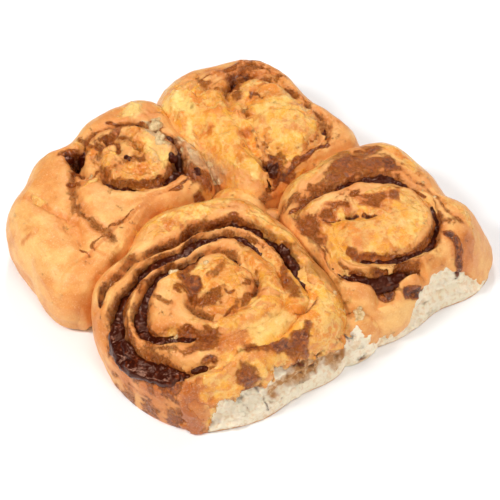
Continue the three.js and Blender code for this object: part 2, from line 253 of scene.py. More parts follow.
# ------------------------------------------------------------------ the scrolls
class Scroll:
    """A rolled bun: outline and spiral groove in polar form round the swirl's centre."""
    flare = None

    def __init__(self, key, shape):
        self.key = key
        vars(self).update(shape)

    def outline_at(self, deg):
        """Radius of the outline at an angle."""
        return through(self.outline, np.mod(deg, 360) / OUTLINE_STEP, True)

    def groove_at(self, turn):
        """Radius of the groove: held inside the rim, but for the stretch where it runs out."""
        r = through(self.groove, (np.asarray(turn, float) - self.start) / GROOVE_STEP, False)
        return np.where(turn < self.end - RUN_OUT, np.minimum(r, self.outline_at(turn) - RIM_LEAST), r)

    def along(self, turn, table, base):
        """Base plus amount times exp(-((turn - angle) / spread)^2) for each entry of a table."""
        return base + sum(amount * np.exp(-((turn - at) / spread) ** 2) for at, amount, spread in table)

    def openness(self, turn):
        """How open the groove is, 0 to 1."""
        return np.clip(self.along(turn, self.opening[1], self.opening[0]), 0, 1)

    def half_paste(self, turn):
        """Half width of the filling that shows."""
        return self.along(turn, self.paste, PASTE_HALF)

    def polar(self, x, y):
        """Angle and radius of plan points round the centre."""
        x, y = x - self.centre[0], y - self.centre[1]
        return np.degrees(np.arctan2(y, x)), np.hypot(x, y)

    def place(self, deg, r):
        """Plan points at an angle and a radius."""
        a = np.radians(deg)
        return self.centre[0] + r * np.cos(a), self.centre[1] + r * np.sin(a)

    def crest(self, deg, r):
        """Height of the ridges: the rim's, plus what the middle has more times 1 - q^2.2, where
        q is the share of the radius."""
        q = np.clip(r / self.outline_at(deg), 0, 1.02)
        return self.rim + (self.mid - self.rim) * (1 - q ** EVEN_POWER)

    def swirl(self, deg, r):
        """Signed distance to the nearest turn of the groove (positive outside it), that turn's
        angle, and how far the groove has faded in there. The distance is the gap in radius
        over sqrt(1 + slope^2), the slope being the groove's rise along its own arc."""
        best = np.full(np.shape(r), 99.0)
        turn_at, live_at = np.zeros(np.shape(r)), np.zeros(np.shape(r))
        for k in range(math.floor((self.start - 360) / 360), math.ceil(self.end / 360) + 2):
            turn = deg + 360 * k
            live = (ease((turn - self.start - FADE_IN[0]) / FADE_IN[1])
                    * ease((self.end + FADE_OUT[0] - turn) / FADE_OUT[1]))
            rise = np.abs(self.groove_at(turn + SLOPE_STEP) - self.groove_at(turn - SLOPE_STEP))
            slope = rise / (2 * SLOPE_STEP * math.pi / 180 * np.maximum(self.groove_at(turn), 4))
            d = (r - self.groove_at(turn)) / np.sqrt(1 + slope ** 2)
            near = (np.abs(d) < np.abs(best)) & (live > 0.02)
            best = np.where(near, d, best)
            turn_at = np.where(near, turn, turn_at)
            live_at = np.where(near, live, live_at)
        return best, turn_at, live_at

    def torn(self, y):
        """1 in front of the plan line where the block is torn off, 0 behind it."""
        return ease((TORN_Y - y) / TORN_FADE)

    def flaring(self, deg):
        """1 in the corner that slopes out to the tray, falling to 0 round it as exp(-q^2)."""
        if self.flare is None:
            return 0.0
        middle, spread = self.flare
        return np.exp(-((np.mod(deg - middle + 180, 360) - 180) / spread) ** 2)


class Block:
    """The four scrolls with their plan features."""

    def __init__(self, sizes):
        self.sizes = sizes
        self.scrolls = {k: Scroll(k, shape) for k, shape in SCROLLS.items()}

    def top(self, s, deg, r, cut=1.0):
        """Height of the dough's top: the crest, less the roll-down of each ridge (a parabola that
        reaches zero one shoulder's width from the groove), less the groove itself, cut being the
        share of its full depth, plus the named swellings, less the folds."""
        x, y = warp(*s.place(deg, r))
        d, turn, live = s.swirl(*s.polar(x, y))
        outside, inside = (s.along(turn, table[s.key], 1.0) for table in (LEAN_OUT, LEAN_IN))
        lean = np.where(d > 0, outside, inside)
        wide = SHOULDER * np.sqrt(np.maximum(lean, LEAN_LEAST))
        gape = s.openness(turn)
        drop = LIP * lean * (0.5 + 0.5 * gape) * np.clip(1 - np.abs(d) / wide, 0, 1) ** 2
        slot = gape * self.sizes.groove_depth * np.exp(-(np.abs(d) / (s.half_paste(turn) + 0.7)) ** 4)
        z = s.crest(deg, r) - live * (drop + cut * slot)
        z = z + bumps(x, y, SWELLINGS[s.key])
        for path, width, depth in FOLDS[s.key]:
            e, along = line_dist(x, y, path)
            fold = depth * np.exp(-np.abs(e / width) ** 1.3)
            z = z - fold * ease(4 * along + 0.25) * ease(4 * (1 - along) + 0.25)
        return z

    def rim_room(self, s, deg, R):
        """Share of the full rounding that the rim has room for outside the groove: its width less
        3 mm over ROOM_FULL, eased from one turn to the next where the groove ends."""
        before = np.mod(s.end - deg, 360)
        width = [R - s.groove_at(s.end - before - lap) for lap in (0, 360)]
        last, inner = (np.clip((w - 3) / ROOM_FULL, ROOM_LEAST, 1) for w in width)
        return inner + (last - inner) * ease(before / ROOM_STEP)

    def shell(self, s, deg, rows_top=112, rows_side=44, rows_bottom=10, cut=1.0):
        """The whole skin of a scroll over angle and row, top, side and flat underside in turn,
        and the zone 0, 1 or 2 of each point. The side runs at the outline's radius less an inset
        that the side tables give for each share of the height."""
        R = s.outline_at(deg)
        k = self.rim_room(s, deg, R)
        f = s.torn(s.place(deg, R)[1])
        g = s.flaring(deg)
        heights = [h for h, _ in SIDE]
        insets = [[i for _, i in table] for table in (SIDE, TORN, FLARE)]

        def inset_at(share):
            plain, torn, flared = (np.interp(share, heights, inset) for inset in insets)
            mixed = (plain * (1 - f) + torn * f) * k
            return mixed * (1 - g) + np.maximum(mixed, flared) * g

        r_top = R - inset_at(np.ones((1, 1)))[0]
        r1 = np.linspace(0.012, 1, rows_top)[:, None] * r_top
        z1 = self.top(s, deg[None, :], r1, cut)
        # The side: the share of the height falls from 1 to 0.
        v = np.linspace(0, 1, rows_side + 1)[1:, None]
        share = 1 - v ** 1.15
        r2 = R - inset_at(share)
        edge = s.crest(deg, r_top)
        z2 = share * (edge - 0.4) + (z1[-1] - edge + 0.4) * ease(1 - 2.2 * v)
        b = np.linspace(0, 1, rows_bottom + 1)[1:, None]
        r3 = r2[-1] * (1 - b * 0.985)
        r, z = np.vstack([r1, r2, r3]), np.vstack([z1, z2, np.zeros_like(r3)])
        x, y = s.place(np.broadcast_to(deg, r.shape), r)
        zone = np.repeat((0.0, 1.0, 2.0), (rows_top, rows_side, rows_bottom))[:, None] + 0 * r
        return np.stack([x, y, z], -1), zone


def normals_of(p):
    """Unit normals of a grid closed in its second direction: the cross product of its steps."""
    du = np.gradient(p, axis=0)
    dv = np.roll(p, -1, 1) - np.roll(p, 1, 1)
    n = np.cross(du, dv)
    n /= np.maximum(np.linalg.norm(n, axis=-1, keepdims=True), 1e-9)
    return n


# ------------------------------------------------------------------ named features, mm
# Roll-down of the ridges outside and inside the groove: (turn angle, change, spread).
LEAN_OUT = {
    "front": ((-200, 0.5, 60), (-560, 0.3, 60), (-30, -0.3, 60)),
    "right": ((-150, 0.3, 60), (-330, -0.4, 60)),
    "left": ((300, 0.3, 60),),
    "back": ((212, 0.6, 40),),
}
LEAN_IN = {
    "front": ((-200, 0.2, 60), (60, 0.5, 60)),
    "right": ((-330, -0.3, 60),),
    "left": ((330, 0.4, 40),),
    "back": ((212, 0.4, 40),),
}
SWELLINGS = {  # (x, y, half width, half depth, turn, height)
    "front": (
        (-20, 1, 30, 9, 4, 1.6), (-48, -52, 6, 9, 15, -1.4), (-30, -47, 9, 8, 0, 0.9),
        (-66, -64, 5, 4, 0, -1.0), (8, -40, 6, 24, 4, 0.9), (-20, -90, 26, 5, 0, 0.8)),
    "right": (
        (50, -9, 22, 6, 2, 1.4), (62, -66, 13, 9, 0, 1.2), (36, -35, 7, 5, 20, 0.9),
        (58, -39, 9, 5, -20, 0.7), (44, -50, 12, 3, -18, -1.6), (40, -60, 8, 6, 0, 0.7),
        (70, -50, 8, 5, 0, 0.8)),
    "left": (
        (-92, 30, 9, 26, 2, 2.4), (-62, 34, 14, 16, 0, 1.4), (-78, 18, 4, 12, -10, -2.6),
        (-30, 48, 6, 7, 0, 1.0), (-9, 82, 8, 7, 0, 1.8), (-8, 57, 5, 11, 8, 1.6), (2, 36, 4, 13, 18, 2.4),
        (-17, 50, 3, 10, 10, -1.6), (-56, 62, 4, 9, 0, -3.0), (-97, 30, 4, 5, 0, 0.9)),
    "back": (
        (54, 30, 14, 22, -6, 1.6), (37, 9, 8, 7, 20, -3.0), (20, 8, 6, 8, 0, 1.2),
        (54, 69, 6, 4, 0, -1.4), (44, 84, 14, 6, 5, 1.5), (62, 52, 5, 6, 0, 1.0),
        (46, 30, 3, 10, 0, -0.9)),
}
FOLDS = {  # (path, half width, depth)
    "front": (
        (((-15, -84), (-8, -84.6), (-2, -83.4)), 0.8, 1.6),
        (((-43, -37), (-46, -44), (-50, -52), (-45, -57)), 1.9, 1.7),
        (((-36, -69), (-26, -67), (-18, -60), (-14, -52)), 1.2, 1.2),
        (((-78, -19), (-84, -27), (-89, -36)), 1.6, 1.0)),
    "right": (
        (((30, -43), (33, -46.5), (38, -47.2)), 0.9, 2.2), (((41, -47.4), (46.5, -48.6)), 1.3, 3.4),
        (((50.5, -50), (54.5, -54.4)), 1.4, 3.6), (((88, -40), (93, -62), (90, -84)), 2.2, 1.4),
        (((30, -63), (34, -70), (42, -77)), 1.2, 1.4), (((29, -87), (35, -92), (42, -93.5)), 1.9, 4.0)),
    "left": (
        (((-88, 53), (-84, 47), (-80, 38), (-76, 30), (-73, 23), (-77, 13), (-80, 5)), 2.2, 2.4),
        (((-57, 50), (-56, 60), (-55, 71)), 3.0, 7.0),
        (((-67, 46), (-61, 50), (-53, 49), (-49, 53)), 1.5, 1.9),
        (((-6, 42), (-7, 31), (-8, 19)), 2.0, 4.6),
        (((-27, 82), (-22, 77), (-17, 72), (-10, 70.5)), 1.4, 2.4),
        (((-33, 70), (-33, 60), (-36, 54)), 1.7, 2.6), (((-94, 0), (-86, 1.5), (-80, 5)), 1.8, 2.2)),
    "back": (
        (((29, 1), (35, 6), (41, 13)), 3.2, 5.0), (((48, 55), (51, 57), (54.5, 54), (54, 49)), 1.2, 1.7),
        (((44, 65), (48, 73), (53, 77), (59, 75.5), (61, 70)), 1.9, 2.6),
        (((64, 82), (70, 74), (76, 62)), 1.8, 1.5), (((34, 88), (33, 78), (37, 70)), 1.8, 1.4)),
}
# Colour ovals in plan: (x, y, half width, half depth, turn, amount).
MELT = (  # thin yellow film of cheese
    (-20, 0, 34, 9, 3, 0.8), (8, -38, 8, 42, 3, 0.9), (-9, -52, 9, 22, 0, 0.9),
    (-22, -84, 38, 13, 2, 1.0), (-32, -48, 20, 15, 0, 0.8), (-40, -66, 18, 8, 0, 0.8),
    (-40, -24, 30, 5, 0, 0.4), (-50, -36, 4, 3, 0, 0.9), (-67, -65, 5, 4, 10, 0.9),
    (-36, -38, 5, 2, 0, 0.7), (-36, -60, 10, 6, 0, 0.4), (47, -8, 23, 8, 0, 0.8),
    (54, -62, 30, 18, 2, 0.9), (37, -48, 12, 6, -10, 0.9), (97, -26, 9, 26, 5, 0.7),
    (96, -74, 6, 18, 0, 0.5), (50, -84, 26, 3, -6, 0.5), (28, -30, 9, 3, 8, 0.6),
    (62, -30, 10, 3, -18, 0.6), (-30, 38, 18, 10, 0, 0.8), (-44, 60, 6, 16, 8, 0.9),
    (-56, 44, 6, 3, 0, 0.9), (-22, 56, 10, 12, 0, 0.7), (-12, 84, 12, 8, 10, 0.6),
    (-18, 40, 14, 8, 0, 0.7), (-84, 47, 4, 5, 0, 0.8), (-78, 26, 5, 14, 0, 0.3), (24, 48, 20, 46, 0, 1.0),
    (54, 34, 20, 34, -4, 1.0), (16, 80, 12, 18, -30, 0.9), (60, 62, 18, 12, 0, 0.7),
    (20, 8, 8, 10, 0, 0.6), (5, 10, 14, 10, 0, 0.6))
PALE_PATCHES_AND_HIGHLIGHT = (  # creamy light patches; the round one at (-9, 82) is a painted highlight
    (-28, -84, 12, 6, 0, 0.9), (-9, 82, 7, 7, 0, 1.0), (-14, 48, 12, 14, 30, 0.8),
    (40, -46, 10, 5, -12, 0.7), (64, -68, 12, 9, 10, 0.7), (-67, -65, 4, 3, 10, 1.0),
    (-50, -34, 3, 3, 0, 0.9), (-36, -38, 3, 2, 0, 1.0), (14, 70, 7, 18, -12, 0.8),
    (56, 40, 13, 14, 0, 0.6), (50, 14, 8, 7, 0, 0.6), (20, 7, 5, 8, 0, 0.7), (-97, 15, 6, 22, 0, 0.6),
    (-84, 47, 3, 5, 0, 0.7), (-82, -2, 16, 4, 20, 0.3), (46, -8, 18, 6, 0, 0.5), (-10, 0, 22, 7, 4, 0.5),
    (-30, -80, 20, 4, 0, 0.5), (-2, -84, 12, 6, 0, 0.6), (10, -30, 5, 22, 3, 0.5),
    (100, -26, 6, 20, 5, 0.5), (54, 71, 5, 3, 0, 0.5), (-56, 44, 5, 3, 0, 0.8))
TOAST = (  # orange to brown baking marks
    (-45, -80, 9, 6, 0, 0.9), (-27, -20, 7, 3, 0, 0.6), (-86, -80, 9, 12, 30, 1.4),
    (-94, -58, 5, 18, 6, 1.2), (-74, -94, 10, 7, -30, 1.3), (-84, -62, 17, 40, 10, 0.42),
    (-24, -80, 26, 10, 0, 0.45), (-6, -58, 12, 20, 0, 0.35), (-38, -60, 14, 8, 0, 0.5),
    (-66, -62, 16, 26, 10, 0.4), (56, 78, 24, 13, -28, 1.0), (80, 44, 8, 20, 0, 0.5),
    (8, 22, 8, 18, 0, 0.4), (24, 36, 9, 26, 0, 0.25), (-52, 52, 10, 20, 0, 0.45),
    (-34, 40, 20, 8, 0, 0.5), (48, -60, 26, 20, 0, 0.35), (-8, -50, 8, 24, 0, 0.45),
    (-90, -46, 8, 34, 6, 0.6), (-86, -82, 12, 14, 40, 0.85), (-84, -95, 9, 8, 20, 0.8),
    (-72, -32, 12, 8, 35, 0.4), (-30, -48, 10, 8, 0, 0.55), (-37, -3, 5, 3, -20, 0.7),
    (-34, -7, 3, 3, 0, 0.9), (-20, -11, 12, 3, -4, 0.9), (-44, -12, 14, 2, 3, 0.7),
    (4, -12, 6, 10, 60, 0.6), (-62, -20, 16, 5, 12, 0.5), (-84, -40, 7, 18, 10, 0.3),
    (-40, -70, 16, 5, -3, 0.6), (-20, -60, 6, 8, 30, 0.45), (-33, -92, 10, 4, -3, 0.8),
    (-22, -96, 7, 3, 0, 0.9), (-50, -92, 8, 4, 0, 0.5), (-66, -76, 8, 5, -30, 0.6),
    (-48, -60, 6, 3, 0, 0.5), (-72, -52, 3, 9, 0, 0.6), (33, -43, 7, 5, 0, 1.3), (42, -41, 7, 5, 0, 1.4),
    (55, -38, 7, 4, 0, 1.3), (61, -45, 7, 5, 0, 1.3), (70, -48, 7, 4, 0, 1.3), (25, -43, 6, 8, 0, 1.2),
    (71, -47, 7, 4, 10, 0.7), (62, -50, 5, 2, 0, 0.6), (40, -66, 8, 6, -30, 0.5),
    (50, -60, 14, 2, 0, 0.4), (56, -79, 18, 2.5, -4, 0.6), (34, -68, 4, 6, 30, 0.7),
    (28, -45, 4, 8, 0, 0.7), (60, -89, 14, 4, -6, 0.7), (83, -90, 9, 6, 10, 0.9),
    (91, -66, 3, 18, -6, 0.6), (94, -46, 3, 8, 0, 0.6), (50, -17, 14, 3, -4, 0.7),
    (-97, 29, 3.4, 3.4, 0, 0.85), (-72, 26, 3.5, 5, 20, 0.6), (-86, 51, 4, 1.6, -40, 0.8),
    (-86, 12, 5, 12, 0, 0.35), (-60, 47, 8, 3, 0, 0.7), (-30, 37, 12, 5, 0, 0.6),
    (-25, 19, 20, 3, 3, 0.7), (-15, 24, 8, 4, 0, 0.5), (-36, 46, 7, 4, 30, 0.6), (-10, 36, 5, 4, 0, 0.5),
    (-72, 70, 10, 6, 20, 0.3), (-30, 77, 8, 5, 0, 0.6), (0, 74, 8, 8, 0, 0.55), (-20, 62, 5, 4, 0, 0.6),
    (-60, 66, 7, 7, 0, 0.5), (-40, 70, 3, 8, 0, 0.5), (28, 36, 7, 16, -4, 0.3),
    (17.5, 43.5, 3.4, 4.4, 30, 1.0), (31, 32, 4.4, 3.4, 10, 0.95), (20, 62, 6, 5, 0, 0.45),
    (24, 20, 7, 8, 0, 0.5), (45, 29, 4, 4, 0, 0.45), (57, 20, 4, 3, 0, 0.4), (54, 54, 4.4, 3.4, 0, 0.85),
    (62, 55, 4, 4, 0, 0.8), (60, 48, 6, 3, -20, 0.6), (66, 36, 3, 3, 0, 0.7), (38, 76, 14, 8, 10, 0.65),
    (56, 84, 16, 6, -10, 0.7), (74, 70, 6, 12, 25, 0.7), (72, 40, 3, 12, 0, 0.5),
    (78, 12, 9, 10, 20, 0.5), (34, 66, 6, 8, 0, 0.5), (72, 24, 4, 6, 0, 0.5), (62, 5, 14, 2, 4, 0.6))
STAIN = (  # filling baked on to the dough, dark brown
    (-38, -89, 6, 3.4, -30, 0.9), (-29, -93, 7, 3.4, -16, 1.0), (-18, -95, 7, 3.0, -8, 0.95),
    (-46, -97, 5, 3.4, -10, 0.8), (-46, -44, 4, 11, -14, 0.9), (-42, -57, 8, 2.6, 0, 0.7),
    (-20, -55, 5, 3, 30, 0.6), (-25, -66, 10, 2.4, 6, 0.55), (-56, -74, 9, 6, -30, 0.7),
    (33, -43, 5, 3, 0, 0.6), (42, -41, 5.5, 3, 0, 0.7), (55, -38, 6, 3, 0, 0.6),
    (62, -45, 5, 3.4, 0, 0.6), (71, -48, 5, 3.4, 0, 0.65), (25, -43, 4, 6, 0, 0.6),
    (84, -71, 3, 7, 0, 0.6), (-30, -44, 8, 3, 10, 0.4), (-84, -60, 3.4, 22, 8, 0.6),
    (-74, -62, 3, 12, 8, 0.5), (-60, -31, 12, 2.6, 24, 0.6), (-76, -84, 8, 6, 30, 0.8),
    (-60, -75, 12, 4, -16, 0.6), (-40, -34, 10, 2.4, 10, 0.7), (4, -44, 2.6, 14, 4, 0.75),
    (-1, -64, 3, 8, -24, 0.7), (-52, -32, 8, 2.6, 14, 0.7), (-63, -48, 3, 10, 6, 0.5),
    (-44, -58, 5, 2.4, 0, 0.6), (52, 70, 7, 3.4, 10, 0.65), (43, 60, 4, 4, 20, 0.5),
    (50, 84, 13, 4, 0, 0.5), (66, 76, 8, 4, -30, 0.5), (70, 62, 4, 6, 0, 0.4), (-4, 21, 4, 6, 0, 0.8),
    (-8, 9, 5, 5, 20, 0.8), (-42, 68, 3, 8, 10, 0.6), (-30, 71, 9, 3, 6, 0.7), (26, -84, 5, 4, -50, 0.9),
    (42, -88, 10, 2, -4, 0.6), (34, -90, 5, 2.6, -20, 0.9), (34, 0, 9, 3, 10, 0.9),
    (24, -3, 4, 5, 0, 0.4), (29, -22, 9, 5, 10, 0.6), (42, -22, 9, 3.4, 0, 0.5),
    (62, -19, 13, 8, -12, 0.75), (76, -21, 13, 10, -14, 0.8), (85, -31, 6, 10, 15, 0.9),
    (82, -13, 8, 6, 0, 0.65), (66, -11, 9, 4, -10, 0.45), (52, -23, 7, 3, 0, 0.55),
    (82, -45, 3, 7, 15, 0.7), (81, -75, 3, 3.4, 0, 0.9), (76, -80, 5, 2, 20, 0.6),
    (-78, -23, 4, 2.4, -50, 0.7), (-91, -50, 2.4, 8, 0, 0.5), (-87, -68, 4, 12, 16, 0.9),
    (-78, -80, 5, 5, 40, 1.0), (-58, -84, 6, 2.4, -4, 0.9), (-46, -41, 2.6, 5, -20, 0.7),
    (-49, -52, 2.4, 3, 0, 0.7), (-61, -67, 6, 3, -20, 0.8), (-38, -67.5, 4, 1.2, 0, 0.7),
    (-31, -60, 1.0, 0.8, 0, 0.8), (-5, -19, 5, 4, -40, 0.7), (-5, -70, 5, 4, 40, 0.6),
    (-46, -15, 14, 1.4, 3, 0.5), (-19, -15, 8, 1.6, -4, 0.6), (-70, -84, 6, 3, -30, 0.6),
    (-56, 61, 3.6, 10, 0, 1.0), (-57, 69, 6, 4, 0, 1.0), (-64, 48.5, 4, 1.8, -20, 0.8),
    (-53, 49, 5, 1.6, 10, 0.7), (-30, 47, 4.4, 5, 30, 0.65), (-33, 64, 2.6, 6, 0, 0.8),
    (-16, 69, 4, 4, -30, 0.8), (-14, 18, 13, 1.8, 2, 0.8), (-2, 24, 5, 8, -20, 0.9),
    (-7, 30, 2, 9, 4, 0.9), (-40, 34, 5, 1.6, -38, 0.6), (-26, 27.6, 7, 1.4, -4, 0.7),
    (-2, 65, 4, 3, 40, 0.5), (-55, 11.5, 14, 1.0, 12, 0.5), (-72, 5, 5, 0.9, 30, 0.5),
    (-80, 5, 1.6, 3, 0, 0.8), (36, 8, 9, 6, 30, 1.0), (31, 3, 4, 4, 0, 1.0), (47, 5, 8, 2, -14, 0.8),
    (50, 74, 7, 4, 10, 0.75), (60, 73, 2.6, 5, -10, 0.8), (46, 68, 3, 4, -20, 0.6),
    (70, 83, 8, 2.4, -30, 0.5), (52, 55, 3.4, 1.4, -30, 0.8), (33, 82, 3, 7, 0, 0.5),
    (-6, 46, 4, 5, 0, 0.35))
DRIPS = (  # burnt filling run down the side
    (-94, -60, 5, 8, 0, 0.45), (-89, -76, 6, 7, 20, 0.6), (-80, -89, 7, 6, 40, 0.7),
    (-68, -98, 6, 5, 0, 0.4), (110, -60, 5, 9, 0, 0.4))
CREAM = (  # dull cream-grey curds
    (-8, 57, 6, 14, 8, 1.0), (3, 36, 5.4, 17, 18, 1.0), (-3, 30, 5, 6, 0, 0.9), (-20, 40, 6, 4, 0, 0.5),
    (-46, 56, 3, 7, 0, 0.5))
VALLEY_PALLOR_AND_SHADE = (  # pale underbaked dough and painted shade in the valleys between scrolls
    (14, -66, 6, 26, 0, 0.9), (23, -20, 3, 9, 12, 0.7), (-66, -8, 14, 3, 26, 0.8),
    (-78, 12, 3, 7, 0, 0.6), (9, 30, 4, 20, 0, 0.4), (72, -42, 6, 4, -30, 0.4), (-29, 62, 3, 9, 0, 0.6),
    (44, 80, 8, 5, 0, 0.4), (13, 32, 3, 22, 4, 0.3), (78, 55, 4, 12, 0, 0.3), (-5, -72, 5, 5, 0, 0.5))
# Drawn lines in plan: (path, half width, amount).
STAIN_LINES = (  # filling in cracks and folds
    (((80, -84), (80.5, -89), (78, -94)), 2.1, 1.1), (((52, -98), (47, -96), (42, -94)), 1.2, 0.9),
    (((-46, 42), (-42, 35), (-34, 30), (-26, 27), (-18, 28)), 1.5, 0.65),
    (((-8, 19), (-7, 31), (-6, 41)), 1.5, 1.0),
    (((-27, 82), (-22, 77), (-17, 72), (-10, 70.5)), 1.1, 0.8),
    (((-33, 70), (-33, 60), (-36, 54)), 1.4, 0.7),
    (((22, -28), (30, -26), (38, -24), (50, -26), (66, -29), (76, -34), (82, -42), (86, -55)), 1.0, 0.9),
    (((31, -44), (33, -46.5), (38, -47.2)), 0.6, 1.0), (((42, -47.4), (47, -48.4)), 1.2, 1.3),
    (((50.5, -50), (54.5, -54.2)), 1.3, 1.3),
    (((30, -63), (34, -70), (42, -77), (50, -80.5), (60, -82), (70, -81.5), (78, -78)), 1.5, 0.8),
    (((35, 2.6), (46, 1.8), (58, 2.0), (66, 4)), 1.1, 0.9),
    (((44, 66), (48, 73), (53, 77), (59, 75.5), (61, 70)), 1.3, 0.9),
    (((48, 55), (51, 57), (54.5, 54), (54, 49)), 1.0, 0.8), (((64, 82), (70, 74), (76, 62)), 1.6, 0.45),
    (((34, 88), (33, 78), (37, 70)), 1.6, 0.4), (((-15, -84), (-8, -84.6), (-2, -83.4)), 0.6, 0.6),
    (((-43, -37), (-46, -44), (-50, -52), (-45, -57)), 2.0, 0.6),
    (((88, -42), (92, -60), (90, -80)), 1.2, 0.4),
    (((-36, -69), (-26, -67), (-18, -60), (-14, -52)), 1.0, 0.45))
TOAST_LINES = (  # browned edges
    (((-80, 2), (-72, 4), (-65, 7.5), (-55, 10), (-43, 13), (-36, 16)), 1.5, 0.75),
    (((-74, 2), (-70, -5)), 1.0, 0.6),
    (((-88, 53), (-84, 47), (-80, 38), (-76, 30), (-73, 23)), 1.6, 0.6),
    (((-97, 33), (-93, 30), (-95, 26)), 1.2, 0.6),
    (((20, -66), (26, -78), (36, -84), (50, -86), (64, -84), (78, -80), (86, -66)), 1.6, 0.4),
    (((-92, -30), (-88, -18), (-78, -9), (-60, -4)), 1.4, 0.5))
HEM = (  # (x, height) of the lower edge of crust and cheese on the torn face
    (-69, -8), (-67.5, 10), (-65, 17), (-61.5, 26), (-53, 25), (-42, 27), (-31, 29.5), (-22, 28),
    (-14, 24.5), (0, 24), (8, 22), (14, 25), (20, 14), (26, 7), (45, 8), (49, 22), (57, 27), (65, 27.7),
    (73, 26), (82, 21), (90, 11), (96, 5), (104, 1), (108, -8))
# Ovals on the torn face: (x, height, half width, half height, turn, amount or depth).
CRUMB_BROWN = (
    (-17, 18, 22, 7, 4, 0.9), (0, 15, 10, 8, 0, 0.8), (17, 4, 4, 4, 0, 0.6), (52, 17, 10, 3, -26, 0.4))
FACE_PALE = ((36, 20, 12, 9, 0, 1.3), (-70, 12, 6, 16, 0, 0.8))
FACE_STAIN = (
    (-45, 24, 4, 1.8, 0, 0.6), (-12, 17, 9, 1.2, 8, 0.6), (37, 33, 5, 2, -15, 1.2),
    (-24, 11, 10, 0.9, 4, 0.5), (50.5, 26, 6.5, 2.0, -22, 1.2), (-40, 12, 1.2, 7, 14, 0.4),
    (15, 6, 3, 2.4, 0, 0.5), (60, 12, 4, 1.2, -30, 0.6))
FACE_DENT = (
    (-25, 25, 13, 3.0, 2, 3.0), (-4, 20, 9, 2.6, 0, 2.4), (-52, 14, 9, 8, 0, 1.8),
    (37, 33, 5, 2.2, -15, 4.0), (50.5, 26, 6.5, 2, -22, 3.0), (0, 12, 12, 5, 10, 1.4),
    (75, 14, 18, 8, 0, 1.4), (35, 15, 11, 9, 0, -2.6), (-70, 14, 4, 16, 0, -1.2))
# Melted sheets: ovals in plan, from and to which x they hang over the torn face, full thickness
# and height of the creases.
SHEETS = {
    "front": (((-22, -82, 37, 16, 3, 1.0), (-8, -60, 8, 20, 8, 1.0), (-38, -72, 12, 5, 0, 0.8)),
              (-77, 15), 0.9, 0.9),
    "right": (((53, -61, 28, 17, 3, 1.0), (36, -47, 10, 6, -12, 1.0), (66, -45, 12, 6, -10, 0.9)),
              None, 0.8, 0.5),
    "back": (((54, 31, 15, 26, -6, 1.0), (60, 52, 9, 9, 0, 0.9), (50, 12, 10, 7, 10, 0.9)),
             None, 0.9, 0.9),
    "middle": (((24, 38, 12, 32, 0, 1.0), (16, 68, 9, 20, -8, 1.0), (28, 62, 9, 14, 0, 0.9),
                (22, 16, 8, 10, 0, 0.8)), None, 1.7, 1.2),
}
COVER_LEAST = 0.02                 # share of cover at which a sheet ends
SHEET_SUNK, SHEET_UNDER = 0.7, 1.6     # how deep a sheet's edge and its lower skin lie
BRIDGE_SUNK, BRIDGE_UNDER = 0.9, 2.2   # the same for the middle sheet
BRIDGE = ((-4, 46, 110), (-2, 100, 220))   # the middle sheet's grid: from, to and points, in x and y
# Mounds that close the seams, and the roll along the front-left one.
MOUNDS = (  # plan centre, half sizes, turn, height
    (9, 3, 19, 16, -35, 30), (9, 54, 11, 40, 0, 34), (17, -93, 16, 10, 0, 27), (86, -86, 12, 9, 0, 27),
    (20, -14, 12, 15, -30, 22))
ROLL = ((-97, -9), (-88, -6), (-78, -3.5), (-66, 0.5), (-55, 4.5), (-44, 8.5), (-34, 11))
FILLING_HALF = 3.4                 # half height of the filling's bar
LUMPS = (  # lumps of filling: plan centre, half sizes, turn, height above the dough there
    (-86, -58, 3.4, 7, 4, 0.6), (-84, -70, 4, 6, 22, 0.8), (-77, -80, 6, 3.6, -45, 0.6),
    (-64, -84, 5, 2.4, -10, 0.5), (-63, -68, 5, 2.2, -22, 0.7), (80.5, -76, 2.6, 3.6, 20, 0.4),
    (-56, 62, 2.4, 6, 0, 1.2), (-58, 69, 4.6, 3, 10, 0.8), (-3, 25, 2.4, 4.4, -24, 0.3),
    (38, 9, 5, 4, 20, 1.0), (31, 3, 3, 3, 0, 0.8), (-16, 69, 3.4, 2.6, -30, 0.7),
    (-31, 47, 3, 3.4, 30, 0.1), (-5, 52, 4, 3, 30, 0.8), (-10, 40, 3, 4, 10, 0.5))
CURDS = (  # scattered lumps: plan path, number, spread, smallest and largest half width
    (((-5, 70), (-7, 58), (-12, 45)), 11, 3.0, 1.8, 3.8),
    (((-1, 48), (3, 38), (6, 28), (9, 19)), 13, 3.0, 1.8, 3.8),
    (((-50, -34), (-48, -33)), 3, 1.2, 1.2, 2.2), (((-67, -65), (-65, -64)), 3, 1.2, 1.2, 2.4),
    (((-36, -38), (-33, -38)), 2, 1.0, 0.9, 1.5), (((10, -84), (16, -90), (22, -93)), 12, 4.0, 0.8, 2.2),
    (((-58, 44), (-52, 46)), 5, 1.6, 0.8, 1.8), (((38, -40), (44, -43)), 3, 1.5, 0.8, 1.4),
    (((24, 60), (30, 74)), 5, 4.0, 0.8, 1.6), (((88, -42), (92, -60)), 3, 3.0, 0.7, 1.3))


# ------------------------------------------------------------------ stage
SKY_COLOUR, SKY_STRENGTH = (1.0, 0.99, 0.98, 1), 0.14
FLOOR_SIZE, FLOOR_GAP = 6, 0.0002  # m
LAMPS = (                          # name, place and size in m, watts; all look at the origin
    ("key", (-0.6, 0.05, 0.7), 0.22, 5.1), ("front", (0.1, -1.0, 0.5), 0.3, 3.5),
    ("top", (-0.1, -0.4, 1.0), 0.35, 2.6), ("right", (0.8, -0.1, 0.5), 0.3, 1.7),
    ("back", (0.35, 0.6, 0.8), 0.14, 3.4))
CAMERA_TURN, CAMERA_RISE = -32, 50   # degrees
CAMERA_AWAY, LENS, SENSOR = 0.528, 73.44, 36.0   # m, mm, mm
CAMERA_AIM = (-24, 17.6)           # y and z of the point in the picture's middle, plan mm


